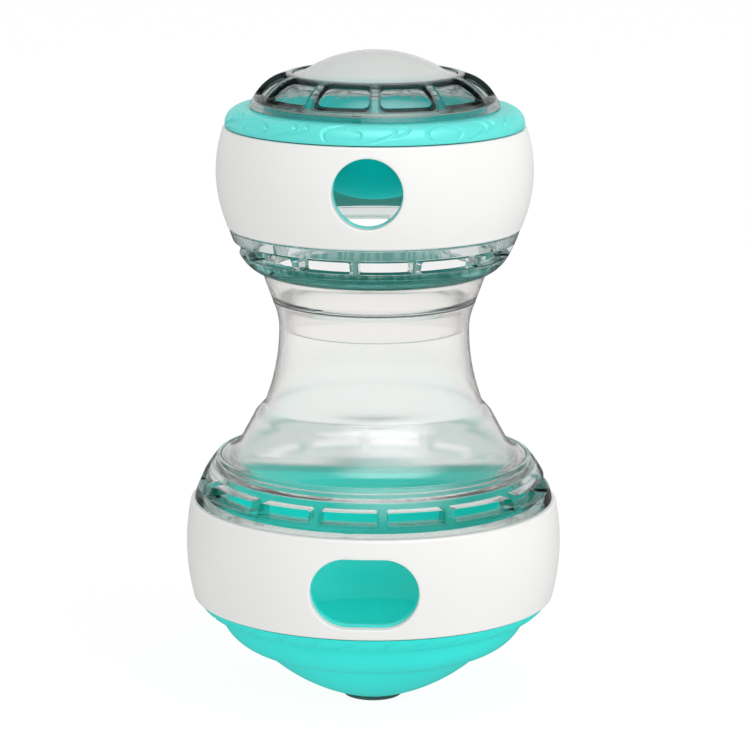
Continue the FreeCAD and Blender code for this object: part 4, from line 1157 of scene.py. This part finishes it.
def makeWorld(v):
    # white to the camera and through clear pieces, softer on the object itself;
    # mirrored, it has pale sides, a dim top and one large soft panel above the front
    world = bpy.data.worlds.new("softRoom")
    bpy.context.scene.world = world
    world.use_nodes = True
    tree = world.node_tree
    tree.nodes.clear()
    way = addNode(tree, "ShaderNodeTexCoord").outputs["Generated"]
    turn, rise = math.radians(v.panelTurn), math.radians(v.panelRise)
    panel = (math.sin(turn) * math.cos(rise), -math.cos(turn) * math.cos(rise), math.sin(rise))
    near = addNode(tree, "ShaderNodeVectorMath", {1: panel}, {0: way}, operation="DOT_PRODUCT").outputs["Value"]
    up = addNode(tree, "ShaderNodeSeparateXYZ", links={"Vector": way}).outputs["Z"]
    room = between(tree, up, v.mirrorSides, v.mirrorTop, *v.mirrorRise)
    mirror = addNode(tree, "ShaderNodeMix", {"B": v.panel},
                     {"Factor": between(tree, near, 0.0, 1.0, *v.panelFade), "A": room}).outputs["Result"]
    strength = strengthByRay(tree, v.worldSoft, [
        ("Is Glossy Ray", mirror), ("Is Transmission Ray", v.worldThrough), ("Is Camera Ray", 1.0)])
    glow = addNode(tree, "ShaderNodeBackground", {"Color": (1, 1, 1, 1)}, {"Strength": strength})
    addNode(tree, "ShaderNodeOutputWorld", links={"Surface": glow.outputs[0]})


def makeFloor(v):
    # pale floor: what looks at it sees mostly white, and the object's shadow stays on it
    material = bpy.data.materials.new("pale studio floor")
    material.use_nodes = True
    tree = material.node_tree
    tree.nodes.clear()
    share = strengthByRay(tree, v.floorSoft, [
        (ray, v.floorShare) for ray in ("Is Glossy Ray", "Is Transmission Ray", "Is Camera Ray")])
    strength = strengthByRay(tree, 1.0, [
        ("Is Glossy Ray", v.floorMirror), ("Is Transmission Ray", v.floorThrough), ("Is Camera Ray", v.floorGlow)])
    paper = addNode(tree, "ShaderNodeBsdfDiffuse", {"Color": (v.floorGrey,) * 3 + (1,), "Roughness": 1.0})
    white = addNode(tree, "ShaderNodeEmission", {"Color": (1, 1, 1, 1)}, {"Strength": strength})
    both = addNode(tree, "ShaderNodeMixShader", links={0: share, 1: paper.outputs[0], 2: white.outputs[0]})
    finished(material, both)
    half = v.floorHalf
    mesh = bpy.data.meshes.new("studioFloor")
    mesh.from_pydata([(-half, -half, 0), (half, -half, 0), (half, half, 0), (-half, half, 0)], [], [(0, 1, 2, 3)])
    mesh.materials.append(material)
    floor = bpy.data.objects.new("studioFloor", mesh)
    bpy.context.scene.collection.objects.link(floor)


def makeLights(v):
    for name, light in v.lights.items():
        data = bpy.data.lights.new(name, "AREA")
        data.shape = "ELLIPSE"
        data.size, data.size_y = light["size"]
        data.energy = light["power"]
        lamp = bpy.data.objects.new(name, data)
        lamp.location = light["place"]
        lamp.rotation_euler = (Vector(v.aim) - lamp.location).to_track_quat("-Z", "Y").to_euler()
        lamp.visible_transmission = False
        lamp.visible_glossy = False
        bpy.context.scene.collection.objects.link(lamp)


# Camera: looks down on the object from slightly to its right, as far off as the picture's perspective asks
cameraValues = {"lens": 178.98, "sensor": 36.0, "back": 1.010, "height": 0.3033, "aside": 0.00028, "down": 11.845,
                "turn": 2.7, "roll": 0.224, "clip": (0.05, 20.0)}


def makeCamera(v):
    data = bpy.data.cameras.new("pictureCamera")
    data.lens = v.lens
    data.sensor_width = v.sensor
    data.clip_start, data.clip_end = v.clip
    camera = bpy.data.objects.new("pictureCamera", data)
    camera.matrix_world = (
        Matrix.Rotation(math.radians(v.turn), 4, "Z") @ Matrix.Translation((v.aside, -v.back, v.height))
        @ Matrix.Rotation(math.radians(90 - v.down), 4, "X") @ Matrix.Rotation(math.radians(v.roll), 4, "Z"))
    bpy.context.scene.collection.objects.link(camera)
    bpy.context.scene.camera = camera


for make in (makeWorld, makeFloor, makeLights):
    make(SimpleNamespace(**studioValues))
makeCamera(SimpleNamespace(**cameraValues))
bpy.context.scene.view_settings.view_transform = "Standard"
print("studio ready")
